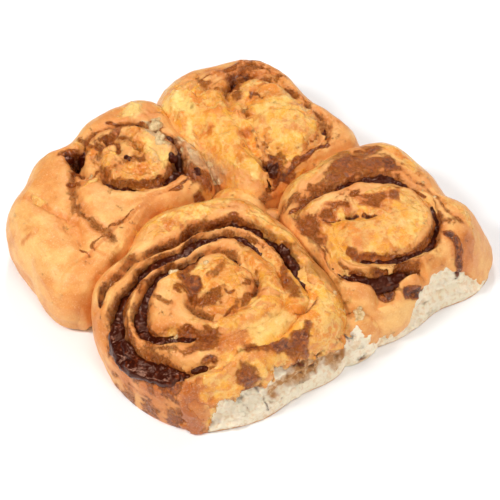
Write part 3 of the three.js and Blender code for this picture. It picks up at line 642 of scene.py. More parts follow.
# ------------------------------------------------------------------ finishes
COLOURS = {
    "crust_light": ("Light crust", (245, 188, 110)),
    "crust": ("Crust", (228, 147, 72)),
    "crust_dark": ("Dark crust", (206, 112, 36)),
    "toast": ("Toasted spots", (170, 84, 28)),
    "cheese_pale": ("Pale cheese", (253, 215, 124)),
    "cheese": ("Cheese", (244, 173, 58)),
    "cheese_orange": ("Browned cheese", (232, 131, 30)),
    "stain": ("Baked filling", (122, 50, 16)),
    "paste": ("Filling", (54, 11, 2)),
    "paste_light": ("Filling on lump tops", (106, 40, 11)),
    "olive": ("Pale dough and painted shade in valleys", (172, 104, 28)),
    "crumb": ("Crumb", (254, 238, 210)),
    # painted highlight specks
    "speck": ("Painted highlight specks", (255, 228, 180)),
    "cream": ("Curds", (232, 206, 160)),
    "cream_shade": ("Shaded curds", (176, 142, 104)),
    "crumb_brown": ("Stained crumb", (190, 132, 76)),
    "crumb_shade": ("Painted shade in crumb pores", (238, 204, 162)),
    "floor": ("Floor", (252, 252, 252)),
}
GRAINS = {                         # features in a metre, detail, roughness, shift of the pattern
    "wide": (55, 3, 0.55, 0.0), "mid": (210, 5, 0.62, 0.0), "fine": (800, 5, 0.7, 0.0),
    "streak": (120, 6, 0.68, 3.0), "blotch": (85, 6, 0.66, 9.0), "speck": (1300, 3, 0.7, 30.0),
    "crease": (240, 4, 0.6, 21.0), "vein_and_glint": (105, 3, 0.6, 27.0), "wet": (430, 4, 0.58, 14.0),
    "pore": (420, 4, 0.6, 12.0), "sand": (1500, 4, 0.6, 5.0),
    "lump": (260, 4, 0.6, 1.0), "grit": (900, 5, 0.65, 2.0),
}
RELIEF_DEPTH = 0.0011              # height that a relief of 1 stands for, m
DOUGH_GLOW = (0.004, 0.0022, 0.0012)   # how far red, green and blue light spread in the dough, m
DOUGH_SHINE, PASTE_SHINE = (1.0, 0.88, 0.72, 1.0), (1.0, 0.52, 0.34, 1.0)   # tints of highlights


def srgb(r, g, b):
    """Linear colour with alpha from 0 to 255 screen values, by the sRGB curve."""
    lin = [v / 255 for v in (r, g, b)]
    return tuple(v / 12.92 if v <= 0.04045 else ((v + 0.055) / 1.055) ** 2.4 for v in lin) + (1.0,)


class Wire:
    """A shader socket with arithmetic: each operator adds a Math node."""

    def __init__(self, tree, socket):
        self.tree, self.socket = tree, socket

    def node(self, kind, inputs=(), out=0, **settings):
        """Adds any other node, its settings first, then the values or links of its sockets, and
        gives back one output."""
        n = self.tree.nodes.new(kind)
        for key, value in settings.items():
            setattr(n, key, value)
        for key, value in dict(inputs).items():
            if isinstance(value, Wire):
                self.tree.links.new(value.socket, n.inputs[key])
            else:
                n.inputs[key].default_value = value
        return Wire(self.tree, n.outputs[out])

    def math(self, operation, *values):
        """Adds a Math node on the values."""
        return self.node("ShaderNodeMath", enumerate(values), operation=operation)

    def __add__(self, other):
        return self.math("ADD", self, other)

    def __radd__(self, other):
        return self.math("ADD", other, self)

    def __sub__(self, other):
        return self.math("SUBTRACT", self, other)

    def __rsub__(self, other):
        return self.math("SUBTRACT", other, self)

    def __mul__(self, other):
        return self.math("MULTIPLY", self, other)

    def __rmul__(self, other):
        return self.math("MULTIPLY", other, self)

    def span(self, low, high):
        """0 at low, 1 at high, eased between."""
        return self.node("ShaderNodeMapRange", {0: self, 1: low, 2: high}, interpolation_type="SMOOTHSTEP")

    def over(self, base, colour):
        """Colour laid over base by this mask."""
        return self.node("ShaderNodeMix", {0: self, 6: base, 7: colour}, out=2, data_type="RGBA")


def material(name, paint):
    """A material whose tree is filled in by paint(root, join): root is the wire of the object's
    coordinates, and join sets or links a socket of the shader."""
    m = bpy.data.materials.new(name)
    m.use_nodes = True
    tree = m.node_tree
    tree.nodes.clear()
    out = tree.nodes.new("ShaderNodeOutputMaterial")
    shader = tree.nodes.new("ShaderNodeBsdfPrincipled")
    place = tree.nodes.new("ShaderNodeTexCoord")
    tree.links.new(shader.outputs[0], out.inputs[0])

    def join(socket, value):
        if isinstance(value, Wire):
            tree.links.new(value.socket, shader.inputs[socket])
        else:
            shader.inputs[socket].default_value = value

    paint(Wire(tree, place.outputs["Object"]), join)
    return m


def grains(root, *names):
    """Fractal noises on object coordinates, by their names in the table."""
    for name in names:
        per_m, detail, rough, shift = GRAINS[name]
        inputs = {"Vector": root, "Scale": per_m, "Detail": detail, "Roughness": rough, "W": shift}
        yield root.node("ShaderNodeTexNoise", inputs, noise_dimensions="4D")


def fields(root, *names):
    """The masks of the mesh, read from its point attributes."""
    for name in names:
        yield root.node("ShaderNodeAttribute", out=2, attribute_name=name)


def bump(root, height):
    """Normal tilted by a relief of the given height, a share of RELIEF_DEPTH."""
    inputs = {"Height": height, "Distance": RELIEF_DEPTH, "Strength": 1.0}
    return root.node("ShaderNodeBump", inputs)


def layered(col, *layers):
    """Colours laid over col in turn: each (mask, low, high, amount, colour) covers by amount
    times the mask eased from low to high."""
    for mask, low, high, amount, colour in layers:
        col = (mask.span(low, high) * amount).over(col, colour)
    return col


def paint_baked(root, join, sheet=False):
    """Crust from pale to toasted, cheese film, curds, pale dough with painted shade in the valleys,
    stains, painted highlights and open crumb with painted shade in its pores, laid over one
    another where a mask of the mesh plus noise passes a level. A melted sheet takes the same
    colours without the crumb."""
    c = bpy.context.scene.scrolls
    toast, pale, stain, olive, cream, melt = fields(root, "toast", "pale", "stain", "olive", "cream", "melt")
    wide, mid, fine, streak, blotch = grains(root, "wide", "mid", "fine", "streak", "blotch")
    speck, wet = grains(root, "speck", "wet")
    mids, fines, streaks, blotches = (wire - 0.5 for wire in (mid, fine, streak, blotch))
    crease, vein_and_glint = (wire.math("ABSOLUTE", wire - 0.5) for wire in grains(root, "crease", "vein_and_glint"))

    col = (wide + mids * 0.5).span(0.36, 0.66).over(c.crust, c.crust_light)
    # Pale crust where the pale mask holds; its round patch at (-9, 82) is a painted highlight.
    col = (pale * 0.9 + mids * 0.5).span(0.2, 0.9).over(col, c.crust_light)

    cheese = (streak + fines * 0.2).span(0.44, 0.58).over(c.cheese, c.crust)
    browned = blotch * 0.6 + wide * 0.4 + fines * 0.2 + toast * 0.12
    # Pale lines along the cheese's wrinkles: partly its own pale streaks, partly painted highlight.
    veins_and_glints = vein_and_glint * -9.0 + 0.8 + streaks * 2.4
    cheese = layered(
        cheese,
        (browned, 0.50, 0.62, 0.9, c.cheese_orange),
        (veins_and_glints, 0.1, 1.0, 0.7, c.cheese_pale))
    # Pale cheese where the pale mask holds, the painted highlight at (-9, 82) included.
    cheese = (pale + streaks * 2.0 + mids * 0.6).span(0.3, 0.9).over(cheese, c.cheese_pale)
    film = (melt + mids * 0.8 + streaks * 0.6).span(0.15, 0.75)
    col = (film * 0.95).over(col, cheese)

    curd = cream + mids * 0.9 + fines * 0.5
    warm = toast + streaks * 0.5 + mids * 0.5
    hot = toast + mids * 1.2 + blotches * 0.8 + fines * 1.0
    valley_pallor_shade_mask = olive + streaks * 0.5
    thin = stain + streaks * 0.7 + mids * 0.5
    dirt = stain + streaks * 1.3 + blotches * 0.9 + mids * 1.4 + fines * 1.1
    gloss = dirt.span(0.25, 0.7)
    col = layered(
        col,
        (curd, 0.25, 0.8, 0.85, mid.span(0.40, 0.60).over(c.cream_shade, c.cream)),
        (warm, 0.0, 1.1, 0.9, c.crust_dark),
        (hot, 0.60, 1.50, 0.85, c.toast),
        # Pale underbaked dough and painted shade in the valleys between scrolls.
        (valley_pallor_shade_mask, 0.30, 0.85, 0.75, c.olive),
        (thin, -0.1, 0.75, 0.9, c.crust_dark),
        (thin, 0.2, 1.0, 0.85, c.toast),
        (dirt, 0.40, 1.10, 0.9, c.stain),
        (dirt, 0.70, 1.35, 0.8, c.paste))
    # Painted highlight: orange glints in the glossy stains.
    col = (gloss * wet.span(0.50, 0.64) * 0.6).over(col, c.crust_dark)
    col = (gloss * (crease * -12.0 + 0.9).span(0.1, 0.9) * 0.3).over(col, c.paste)
    # Painted highlights: light specks all over, a little fewer where glossy; then dark flecks of toasted
    # crust.
    col = layered(
        col,
        (speck - gloss * 0.05, 0.55, 0.70, 0.45, c.speck),
        (speck, 0.45, 0.32, 0.35, c.crust_dark))

    rough = 0.46 - film * 0.28 - gloss * 0.30 + mids * 0.2
    relief = (mid * 0.35 + fine * 0.12 + (gloss * 1.4 + film * 0.6) * wet
              + (gloss * 0.6 + film * 0.6) * (streak * 0.8 - crease * 1.5))
    if not sheet:
        crumb, brown, deep = fields(root, "crumb", "brown", "deep")
        pore, sand = grains(root, "pore", "sand")
        inside = (brown + mids * 0.9).span(0.2, 0.8).over(c.crumb, c.crumb_brown)
        # Painted shade in the crumb's pores.
        inside = (pore.span(0.52, 0.36) * 0.7).over(inside, c.crumb_shade)
        inside = dirt.span(0.35, 0.80).over(inside, c.stain)
        inside = dirt.span(0.80, 1.20).over(inside, c.paste)
        col = (crumb + fines * 0.35).span(0.40, 0.60).over(col, inside)
        # Filling colour down the open slot of the groove: partly the filling that lines it, partly painted
        # shade.
        col = (deep.span(0.25, 1.0) * 0.8).over(col, c.paste)
        rough = rough + crumb * 0.4
        relief = relief + sand * (0.05 + crumb * 0.5)
    join("Base Color", col)
    join("Roughness", rough)
    join("Subsurface Weight", 0.12)
    join("Subsurface Radius", DOUGH_GLOW)
    join("Subsurface Scale", 0.5)
    join("Specular IOR Level", 0.6)
    join("Specular Tint", DOUGH_SHINE)
    join("Normal", bump(root, relief))


def paint_cheese(root, join):
    """Melted cheese over the dough."""
    paint_baked(root, join, True)


def paint_filling(root, join):
    """Dark sticky filling: glossy, lumpy, lighter and redder on the tops of its lumps."""
    c = bpy.context.scene.scrolls
    lump, grit = grains(root, "lump", "grit")
    col = (lump + (grit - 0.5) * 0.7).span(0.52, 0.76).over(c.paste, c.paste_light)
    col = (grit + (lump - 0.5) * 0.8).span(0.60, 0.80).over(col, c.stain)
    join("Base Color", col)
    join("Roughness", 0.15 + (lump - 0.5) * 0.2)
    join("Specular IOR Level", 0.5)
    join("Specular Tint", PASTE_SHINE)
    join("Normal", bump(root, lump * 0.9 + grit * 0.08))


def paint_floor(root, join):
    """Plain pale ground."""
    join("Base Color", bpy.context.scene.scrolls.floor)
    join("Roughness", 0.9)
    join("Specular IOR Level", 0.1)


FINISHES = {                       # name and painter of the finish in each slot
    "bread": ("dough_baked", paint_baked), "cheese": ("melted_cheese", paint_cheese),
    "filling": ("filling_paste", paint_filling)}


# ------------------------------------------------------------------ meshes
def mesh_object(name, points_mm, faces, slot_name, masks, stands_for=()):
    """A piece from points in plan millimetres and arrays of 3- or 4-cornered faces, with its
    masks as point attributes."""
    p = points_mm * MM
    p[:, 0] += SHIFT[0] * MM
    p[:, 1] += SHIFT[1] * MM
    mesh = bpy.data.meshes.new(name)
    loops = np.concatenate([f.ravel() for f in faces]).astype(np.int32)
    sizes = np.concatenate([np.full(len(f), f.shape[1]) for f in faces]).astype(np.int32)
    mesh.vertices.add(len(p))
    mesh.vertices.foreach_set("co", p.astype(np.float32).ravel())
    mesh.loops.add(len(loops))
    mesh.loops.foreach_set("vertex_index", loops)
    mesh.polygons.add(len(sizes))
    mesh.polygons.foreach_set("loop_start", np.concatenate([[0], np.cumsum(sizes)[:-1]]).astype(np.int32))
    mesh.polygons.foreach_set("loop_total", sizes)
    mesh.polygons.foreach_set("use_smooth", np.ones(len(sizes), bool))
    for key, values in masks.items():
        layer = mesh.attributes.new(key, "FLOAT", "POINT")
        layer.data.foreach_set("value", np.asarray(values, np.float32).ravel())
    mesh.update(calc_edges=True)
    if mesh.validate():
        raise RuntimeError(name + " has broken faces")
    mesh.materials.append(bpy.data.materials[FINISHES[slot_name][0]])
    o = bpy.data.objects.new(name, mesh)
    bpy.context.scene.collection.objects.link(o)
    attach(o, "root")
    if stands_for:
        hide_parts(*stands_for)
    return o


def ring_faces(rows, cols):
    """Four-cornered faces of a grid closed along its rows."""
    i, j = np.meshgrid(np.arange(rows - 1), np.arange(cols), indexing="ij")
    k = (j + 1) % cols
    return np.stack([i * cols + j, (i + 1) * cols + j, (i + 1) * cols + k, i * cols + k], -1).reshape(-1, 4)


def capped(grid):
    """Points and faces of a grid closed along its rows, with a pole at the mean of either end."""
    rows, cols = grid.shape[:2]
    points = np.vstack([grid.reshape(-1, 3), grid[0].mean(0), grid[-1].mean(0)])
    j = np.arange(cols)
    k = (j + 1) % cols
    first_pole, last_pole, last_row = rows * cols, rows * cols + 1, (rows - 1) * cols
    tips = np.vstack([np.stack([np.full(cols, first_pole), j, k], -1),
                      np.stack([np.full(cols, last_pole), last_row + k, last_row + j], -1)])
    return points, [ring_faces(rows, cols), tips]


def with_poles(grid_values):
    """Mask of a capped grid: its own values, then the mean of the first and last rows."""
    v = np.asarray(grid_values, float)
    return np.concatenate([v.ravel(), [v[0].mean(), v[-1].mean()]])


def joined(grids):
    """Several capped grids as one set of points and faces."""
    points, faces, base = [], [], 0
    for g in grids:
        p, f = capped(g)
        points.append(p)
        faces += [a + base for a in f]
        base += len(p)
    return np.vstack(points), faces


def egg(cx, cy, a, b, turn, top, bottom=0.0, rows=40, cols=72):
    """Half an egg standing on bottom: a plan ellipse times the profile (1 - h^2.6)^(1/2.2), drawn
    in a little at its foot, where h is the share of the height. Six rings close the base."""
    base = 6
    h = np.concatenate([np.zeros(base), np.linspace(0, 1, rows) ** 0.8])
    profile = np.maximum((1 - h[base:] ** 2.6), 0) ** (1 / 2.2) * (0.9 + 0.1 * ease(h[base:] * 5))
    q = np.concatenate([np.linspace(0.05, 0.86, base), profile])
    q[-1] = 0.02
    w = np.linspace(0, 2 * np.pi, cols, endpoint=False)
    c, s = math.cos(math.radians(turn)), math.sin(math.radians(turn))
    u, v = a * q[:, None] * np.cos(w), b * q[:, None] * np.sin(w)
    z = bottom + (top - bottom) * h[:, None] + 0 * u
    return np.stack([cx + u * c - v * s, cy + u * s + v * c, z], -1)[::-1]


def tube(path, radius, height, cols, power):
    """Rounded bar along a path of points: cosine and sine, each to the given power, times the
    half width and the half height of each point."""
    path = np.asarray(path, float)
    t = np.gradient(path, axis=0)
    side = np.stack([t[:, 1], -t[:, 0], 0 * t[:, 0]], -1)
    side /= np.maximum(np.linalg.norm(side, axis=1, keepdims=True), 1e-9)
    w = np.linspace(0, 2 * np.pi, cols, endpoint=False)
    u = np.sign(np.cos(w)) * np.abs(np.cos(w)) ** power
    v = np.sign(np.sin(w)) * np.abs(np.sin(w)) ** power
    up = np.array([0, 0, 1.0])
    across, tall = (u * radius[:, None])[..., None], (v * height[:, None])[..., None]
    return path[:, None] + side[:, None] * across + up * tall


def lumpy(grid, amount):
    """A grid pushed along its normals by coarse noise and sharper folds."""
    n = normals_of(grid)
    return grid + n * (amount * (NOISE.rough(grid, 7.0, 2) + 0.6 * NOISE.creased(grid, 4.5, 2)))[..., None]


# ------------------------------------------------------------------ masks
def drifted(p):
    """For points p: plan places moved by slow noise, at which the lines are read, the same moved
    again by quicker noise, for the ovals, and two noises that fray the edges."""
    near = warp(p[..., 0], p[..., 1])
    return near, warp(*near, 4.0, 12.0), NOISE.rough(p, 7.0, 3), NOISE.rough(p + 31.0, 4.0, 3)


def torn_share(y, n, kind):
    """1 where a piece is in front of its plan line and its normals n face forward, else 0."""
    front, fade, tilt, soft = TEARS[kind]
    return ease((front - y) / fade) * ease((-n[..., 1] - tilt) / soft)


def upward(n):
    """1 where the normals face up, 0 on the sides and below."""
    return ease((n[..., 2] + 0.1) / 0.4)


def dough_masks(p, torn, up, ring=None):
    """Masks of the dough at points p: plan ovals and lines where it faces up, face ovals where it
    is torn, their edges frayed by noise that runs along the turns of the swirl."""
    near, (x, y), n1, n2 = drifted(p)
    raw_x, z = p[..., 0], p[..., 2]
    streak = n1
    if ring is not None:
        a = np.radians(ring[0])
        round_swirl = np.stack([np.cos(a) * 2.2, np.sin(a) * 2.2, ring[1] / 3.2 + 0.4 * n1], -1)
        streak = NOISE.rough(round_swirl, 1.0, 3, 0.6)
    wob = 0.26 * n1 + 0.16 * n2 + 0.30 * streak
    toast = np.maximum(blobs(x, y, TOAST, wob), lines(*near, TOAST_LINES, wob))
    stain = np.maximum(blobs(x, y, STAIN, wob), lines(*near, STAIN_LINES, wob))
    drips = blobs(x, y, DRIPS, 0.5 * n1 + 0.7 * n2) * (1 - up) * ease((24 - z) / 8)
    stain = np.maximum(stain * up, np.maximum(blobs(x, z, FACE_STAIN, wob) * torn, drips))
    # The crumb begins below the hem. Filling is tucked under the crust in the middle of the face.
    ragged = 1 - 0.65 * ease((raw_x - 36) / 8)
    below = hem(raw_x) - z + ragged * (5.0 * n2 + 3.0 * n1)
    tucked = torn * np.exp(-((below - 1.5) / 2.2) ** 2) * ease((raw_x + 50) / 6) * ease((14 - raw_x) / 6)
    return {
        "toast": np.maximum(toast * (0.5 + 0.5 * up), 0.16 + 0.16 * n1 + 0.26 * streak * up),
        "melt": blobs(x, y, MELT, wob) * up,
        "pale": np.maximum(blobs(x, y, PALE_PATCHES_AND_HIGHLIGHT, wob) * up, blobs(x, z, FACE_PALE, wob) * torn),
        "stain": np.maximum(stain, tucked * (0.75 + 0.8 * n1)),
        "cream": blobs(x, y, CREAM, wob) * up,
        "olive": blobs(x, y, VALLEY_PALLOR_AND_SHADE, wob),
        "brown": blobs(x, z, CRUMB_BROWN, wob) * torn,
        "crumb": torn * ease(below / 2.0 + 0.5),
    }


def mark_groove(masks, s, p, top, ring):
    """Marks a scroll's groove in its masks: stain on the lips, toast on the ridges beside them,
    and the deep slot between, in the colour of the filling that lines it and partly painted shade,
    each falling off as exp(-q^n), q the distance in half widths."""
    d, turn, live = s.swirl(*ring)
    away = np.abs(d)
    gape, half = s.openness(turn), s.half_paste(turn)
    lips = top * live * (0.6 + 0.4 * gape) * np.exp(-(np.clip(away - half * gape, 0, 99) / 2.3) ** 2)
    strength = s.stained + 0.5 * NOISE.rough(p, 12.0, 3)
    masks["stain"] = np.maximum(masks["stain"], lips * strength * (1 - 0.35 * masks["melt"]))
    masks["deep"] = top * live * gape * np.exp(-(away / (half * (0.3 + 0.7 * gape))) ** 4)
    ridges = top * live * 0.7 * np.exp(-((away - half - 1.5) / 2.2) ** 2)
    masks["toast"] = np.maximum(masks["toast"], ridges * (0.7 + 0.6 * NOISE.rough(p + 11, 12.0, 2)))


def sheet_masks(p):
    """Masks of the melted cheese at points p, from the same plan ovals and lines."""
    near, (x, y), n1, n2 = drifted(p)
    wob = 0.34 * n1 + 0.24 * n2
    return {
        "toast": np.maximum(blobs(x, y, TOAST, wob), 0.16 + 0.22 * n1),
        "pale": blobs(x, y, PALE_PATCHES_AND_HIGHLIGHT, wob),
        "stain": np.maximum(blobs(x, y, STAIN, wob), lines(*near, STAIN_LINES, wob)),
        "cream": blobs(x, y, CREAM, wob),
        "melt": np.ones(x.shape),
        "olive": 0.7 * blobs(x, y, VALLEY_PALLOR_AND_SHADE, wob),
    }


# ------------------------------------------------------------------ dough
def skin_push(s, p, torn, zone, masks):
    """How far a scroll's skin is pushed out, mm: slow waves on the crust, coarse and fine noise on
    the crumb, with a step at 0.45 of the hem's height, less the dents of the torn face, plus
    sharp folds where cheese and filling cover the top, and rough stains on the side."""
    x, z, crumb = p[..., 0], p[..., 2], masks["crumb"]
    waves = 0.9 * NOISE.rough(p, 24.0, 2) + 0.2 * NOISE.rough(p + 5, 6.5, 3)
    pores = 2.0 * NOISE.rough(p * (0.5, 1, 1.5), 7.0, 3, 0.6) + 0.6 * NOISE.rough(p + 9, 2.2, 2)
    push = waves * (1 - crumb) + (pores - 0.6) * crumb
    step = (0.45 * hem(x) - z + 3 * NOISE.rough(p, 9.0, 2)) / 1.2
    push = push + 1.8 * crumb * (ease(step) - 0.6)
    covered = np.clip(masks["melt"] + masks["stain"] + masks["cream"] + 0.6 * masks["toast"], 0, 1)
    folds = 0.8 * NOISE.creased(p + 17, 12.0, 3) + 0.5 * NOISE.rough(p + 3, 5.0, 2)
    push = push - torn * bumps(x, z, FACE_DENT) + (zone == 0) * covered * s.busy * folds
    push = push + 0.9 * (zone == 1) * masks["stain"] * NOISE.rough(p + 8, 3.5, 3)
    return np.where(zone == 2, 0, push * ease(z / 3.0))


def make_dough(block, key):
    """One scroll's skin: the shell pushed in and out along its normals, flat underneath."""
    s = block.scrolls[key]
    p, zone = block.shell(s, np.linspace(0, 360, block.sizes.turns, endpoint=False))
    n = normals_of(p)
    faces_front = key in ("front", "right")
    torn = torn_share(p[..., 1], n, "skin") * (p[..., 2] > 0.05) * faces_front
    ring = s.polar(*warp(p[..., 0], p[..., 1]))
    masks = dough_masks(p, torn, upward(n), ring)
    mark_groove(masks, s, p, zone == 0, ring)
    q = p + n * skin_push(s, p, torn, zone, masks)[..., None]
    q[..., 2] = np.where(zone == 2, 0, np.maximum(q[..., 2], 0.02))
    points, faces = capped(q)
    return mesh_object("dough_" + key, points, faces, "bread", {k: with_poles(v) for k, v in masks.items()})


def seam_roll():
    """The roll along the front-left seam: a bar through its points, thinner at both ends."""
    u = np.linspace(0, len(ROLL) - 1, 120)
    x, y = (through(values, u, False) for values in zip(*ROLL))
    e = ease(np.minimum(u, u[-1] - u) / 0.5) ** 0.5
    radius = (8.5 + 1.2 * np.sin(u * 1.3)) * (0.25 + 0.75 * e)
    high = np.linspace(13, 15.5, len(u)) * (0.4 + 0.6 * e)
    return tube(np.stack([x, y, np.linspace(12.5, 15.5, len(u))], -1), radius, high, 56, 0.85)


def make_seams():
    """Dough that closes the seams: the mounds and the roll, with the crust's waves and crumb."""
    out, masks = [], {}
    for g in [egg(*m) for m in MOUNDS] + [seam_roll()]:
        n = normals_of(g)
        torn = torn_share(g[..., 1], n, "seams")
        m = dough_masks(g, torn, upward(n))
        m["deep"] = 0 * torn
        waves, pores = 0.5 * NOISE.rough(g, 12.0, 3), 1.3 * NOISE.rough(g, 5.0, 3)
        push = (waves * (1 - m["crumb"]) + pores * m["crumb"]) * ease(g[..., 2] / 3)
        g = g + n * push[..., None]
        g[..., 2] = np.maximum(g[..., 2], 0)
        out.append(g)
        for k, v in m.items():
            masks.setdefault(k, []).append(with_poles(v))
    points, faces = joined(out)
    masks = {k: np.concatenate(v) for k, v in masks.items()}
    return mesh_object("dough_seams", points, faces, "bread", masks, ("bread",))


# ------------------------------------------------------------------ filling
def make_filling(block, key):
    """Filling in the groove: an oval bar along the spiral, its top lumpy, lower where the groove
    is shut and at its ends."""
    s = block.scrolls[key]
    turn = np.arange(s.start + 40, s.end - 9, 1.5)
    x, y = s.place(turn, s.groove_at(turn))
    wx, wy = warp(x, y)
    x, y = 2 * x - wx, 2 * y - wy
    half = s.half_paste(turn)
    shut = 1 - ease(s.openness(turn) * 1.6)
    z = block.top(s, *s.polar(x, y), 0.0) - 0.5 - s.along(turn, s.sink, 0.3) - 4.5 * shut
    e = ease(np.minimum(turn - turn[0], turn[-1] - turn) / 30) ** 0.5
    z = z + 0.8 * (half - PASTE_HALF) - 6.0 * (1 - e)
    high = FILLING_HALF * (0.3 + 0.7 * e)
    grid = tube(np.stack([x, y, z - FILLING_HALF], -1), (half + 1.0) * (0.2 + 0.8 * e), high, 28, 0.8)
    points, faces = capped(lumpy(grid, 0.9))
    return mesh_object("filling_in_" + key, points, faces, "filling", {}, ("filling_" + key,))


def surface(block, x, y, cut):
    """Height of the block over plan points: each scroll's top, or its side past the rim, and the
    mounds, joined smoothly as 1.6 times the log of the sum of exp(height / 1.6)."""
    soft = 1.6
    total = np.zeros(np.shape(x))
    heights, insets = zip(*SIDE[2:])
    rim = insets[-1]
    for s in block.scrolls.values():
        deg, r = s.polar(x, y)
        R = s.outline_at(deg)
        room = R - r
        side = np.interp(np.clip(room, 0, rim), insets, heights) * s.crest(deg, np.minimum(r, R))
        z = np.where(room > rim, block.top(s, deg, np.minimum(r, R - rim), cut), side)
        total += np.where(room > 0, np.exp(z / soft), 0)
    for *oval, top in MOUNDS:
        q = np.hypot(*in_oval(x, y, *oval))
        total += np.where(q < 1, np.exp(top * np.maximum(1 - q ** 2.2, 0) ** (1 / 2.6) / soft), 0)
    return soft * np.log(np.maximum(total, 1.0))


def height_at(block, x, y, cut):
    """Height of the block at one plan point."""
    return float(surface(block, np.array([x]), np.array([y]), cut)[0])


def make_lumps(block):
    """Lumps of filling that stand out of the grooves and holes."""
    grids = []
    for x, y, *shape, rise in LUMPS:
        z = height_at(block, x, y, 1.0)
        grids.append(lumpy(egg(x, y, *shape, z + rise, z - 3.0, 16, 30), 0.7))
    points, faces = joined(grids)
    return mesh_object("filling_lumps", points, faces, "filling", {})


# ------------------------------------------------------------------ cheese
def tidy_cells(keep):
    """Fills cells that would touch only at a corner."""
    for _ in range(40):
        a, b, c, d = keep[:-1, :-1], keep[:-1, 1:], keep[1:, :-1], keep[1:, 1:]
        bad = (a & d & ~b & ~c) | (b & c & ~a & ~d)
        if not bad.any():
            break
        i, j = np.nonzero(bad)
        for di in (0, 1):
            for dj in (0, 1):
                keep[i + di, j + dj] = True
    return keep


def patch(upper, lower, keep):
    """A closed sheet over the kept cells of a grid: upper skin, lower skin, and a wall round every
    open edge. Keep has one cell fewer than the grid along its rows, and as many along its
    columns when it is a ring."""
    rows, cols = upper.shape[:2]
    ring = keep.shape[1] == cols
    i, j = np.nonzero(keep)
    k = (j + 1) % cols if ring else j + 1
    quads = np.stack([i * cols + j, (i + 1) * cols + j, (i + 1) * cols + k, i * cols + k], -1)
    total = rows * cols
    edges = np.concatenate([quads[:, [a, (a + 1) % 4]] for a in range(4)])
    code, back = edges[:, 0] * total + edges[:, 1], edges[:, 1] * total + edges[:, 0]
    rim = edges[~np.isin(code, back)]
    walls = np.stack([rim[:, 1], rim[:, 0], rim[:, 0] + total, rim[:, 1] + total], -1)
    faces = np.vstack([quads, quads[:, ::-1] + total, walls])
    used, index = np.unique(faces, return_inverse=True)
    points = np.concatenate([upper.reshape(-1, 3), lower.reshape(-1, 3)])[used]
    return points, [index.reshape(-1, 4)], used % total


def make_cheese(block, key):
    """A melted sheet on one scroll: the dough's own surface with its grooves softened, raised by
    the sheet's thickness and sunk into the dough outside its lobed edge."""
    plan, hang, thick, creases = SHEETS[key]
    underside = 5                  # rows of the shell that are left out
    p, _ = block.shell(block.scrolls[key], np.linspace(0, 360, 480, endpoint=False), 96, 40, 4, 0.15)
    p = p[:-underside]
    n = normals_of(p)
    x, y, z = p[..., 0], p[..., 1], p[..., 2]
    n1, n2 = NOISE.rough(p, 9.0, 3), NOISE.rough(p + 50, 4.0, 3)
    cover = blobs(x, y, plan, 0.24 * n1 + 0.05 * n2) * ease((n[..., 2] - 0.05) / 0.3)
    cover = cover * (1 - ease((-84 - y) / 5) * ease((hem(x) - z - 4 * n1 - 4 * n2) / 2 + 0.5))
    if hang:
        inside = ease((x - hang[0] + 14 * n1) / 3) * ease((hang[1] - x + 10 * n1) / 3)
        torn = torn_share(y, n, "sheet")
        cover = np.maximum(cover, torn * inside * ease((z - hem(x) + 5 * n1 + 4 * n2) / 3 + 0.5))
    t = -SHEET_SUNK + (thick + SHEET_SUNK) * ease(cover * 1.2)
    t = t + cover * (creases * NOISE.creased(p + 4, 12.0, 2) + 0.3 * n2)
    cell = cover > COVER_LEAST
    keep = tidy_cells(cell[:-1] | cell[1:] | np.roll(cell, -1, 1)[:-1])
    points, faces, used = patch(p + n * t[..., None], p - n * SHEET_UNDER, keep)
    masks = dict(sheet_masks(p), melt=0.3 + ease(cover * 1.4))
    masks = {k: v.ravel()[used] for k, v in masks.items()}
    return mesh_object("cheese_on_" + key, points, faces, "cheese", masks, ("cheese_" + key,))


def make_middle_cheese(block):
    """The sheet that bridges the left and back scrolls: the joined surface of both, softened by
    the mean of each point and its neighbours, on a plain grid."""
    plan, _, thick, creases = SHEETS["middle"]
    x, y = np.meshgrid(*(np.linspace(*reach) for reach in BRIDGE))
    z = surface(block, x, y, 0.1)
    for _ in range(6):
        e = np.pad(z, 1, mode="edge")
        z = (e[:-2, 1:-1] + e[2:, 1:-1] + e[1:-1, :-2] + e[1:-1, 2:] + 2 * z) / 6
    p = np.stack([x, y, z], -1)
    n1, n2 = NOISE.rough(p, 9.0, 3), NOISE.rough(p + 50, 4.0, 3)
    cover = blobs(x, y, plan, 0.30 * n1 + 0.10 * n2)
    t = -BRIDGE_SUNK + (thick + BRIDGE_SUNK) * ease(cover * 1.5)
    t = t + cover * (creases * NOISE.creased(p + 4, 13.0, 3) + 0.5 * n1 + 0.3 * n2)
    upper, lower = p.copy(), p.copy()
    upper[..., 2] += t
    lower[..., 2] -= BRIDGE_UNDER
    cell = cover > COVER_LEAST
    keep = tidy_cells(cell[:-1, :-1] | cell[1:, 1:] | cell[:-1, 1:] | cell[1:, :-1])
    points, faces, used = patch(upper[:, ::-1], lower[:, ::-1], keep[:, ::-1])
    masks = dict(sheet_masks(p), melt=0.3 + ease(cover * 1.4))
    masks = {k: v[:, ::-1].ravel()[used] for k, v in masks.items()}
    return mesh_object("cheese_on_middle", points, faces, "cheese", masks, ("cheese_middle",))


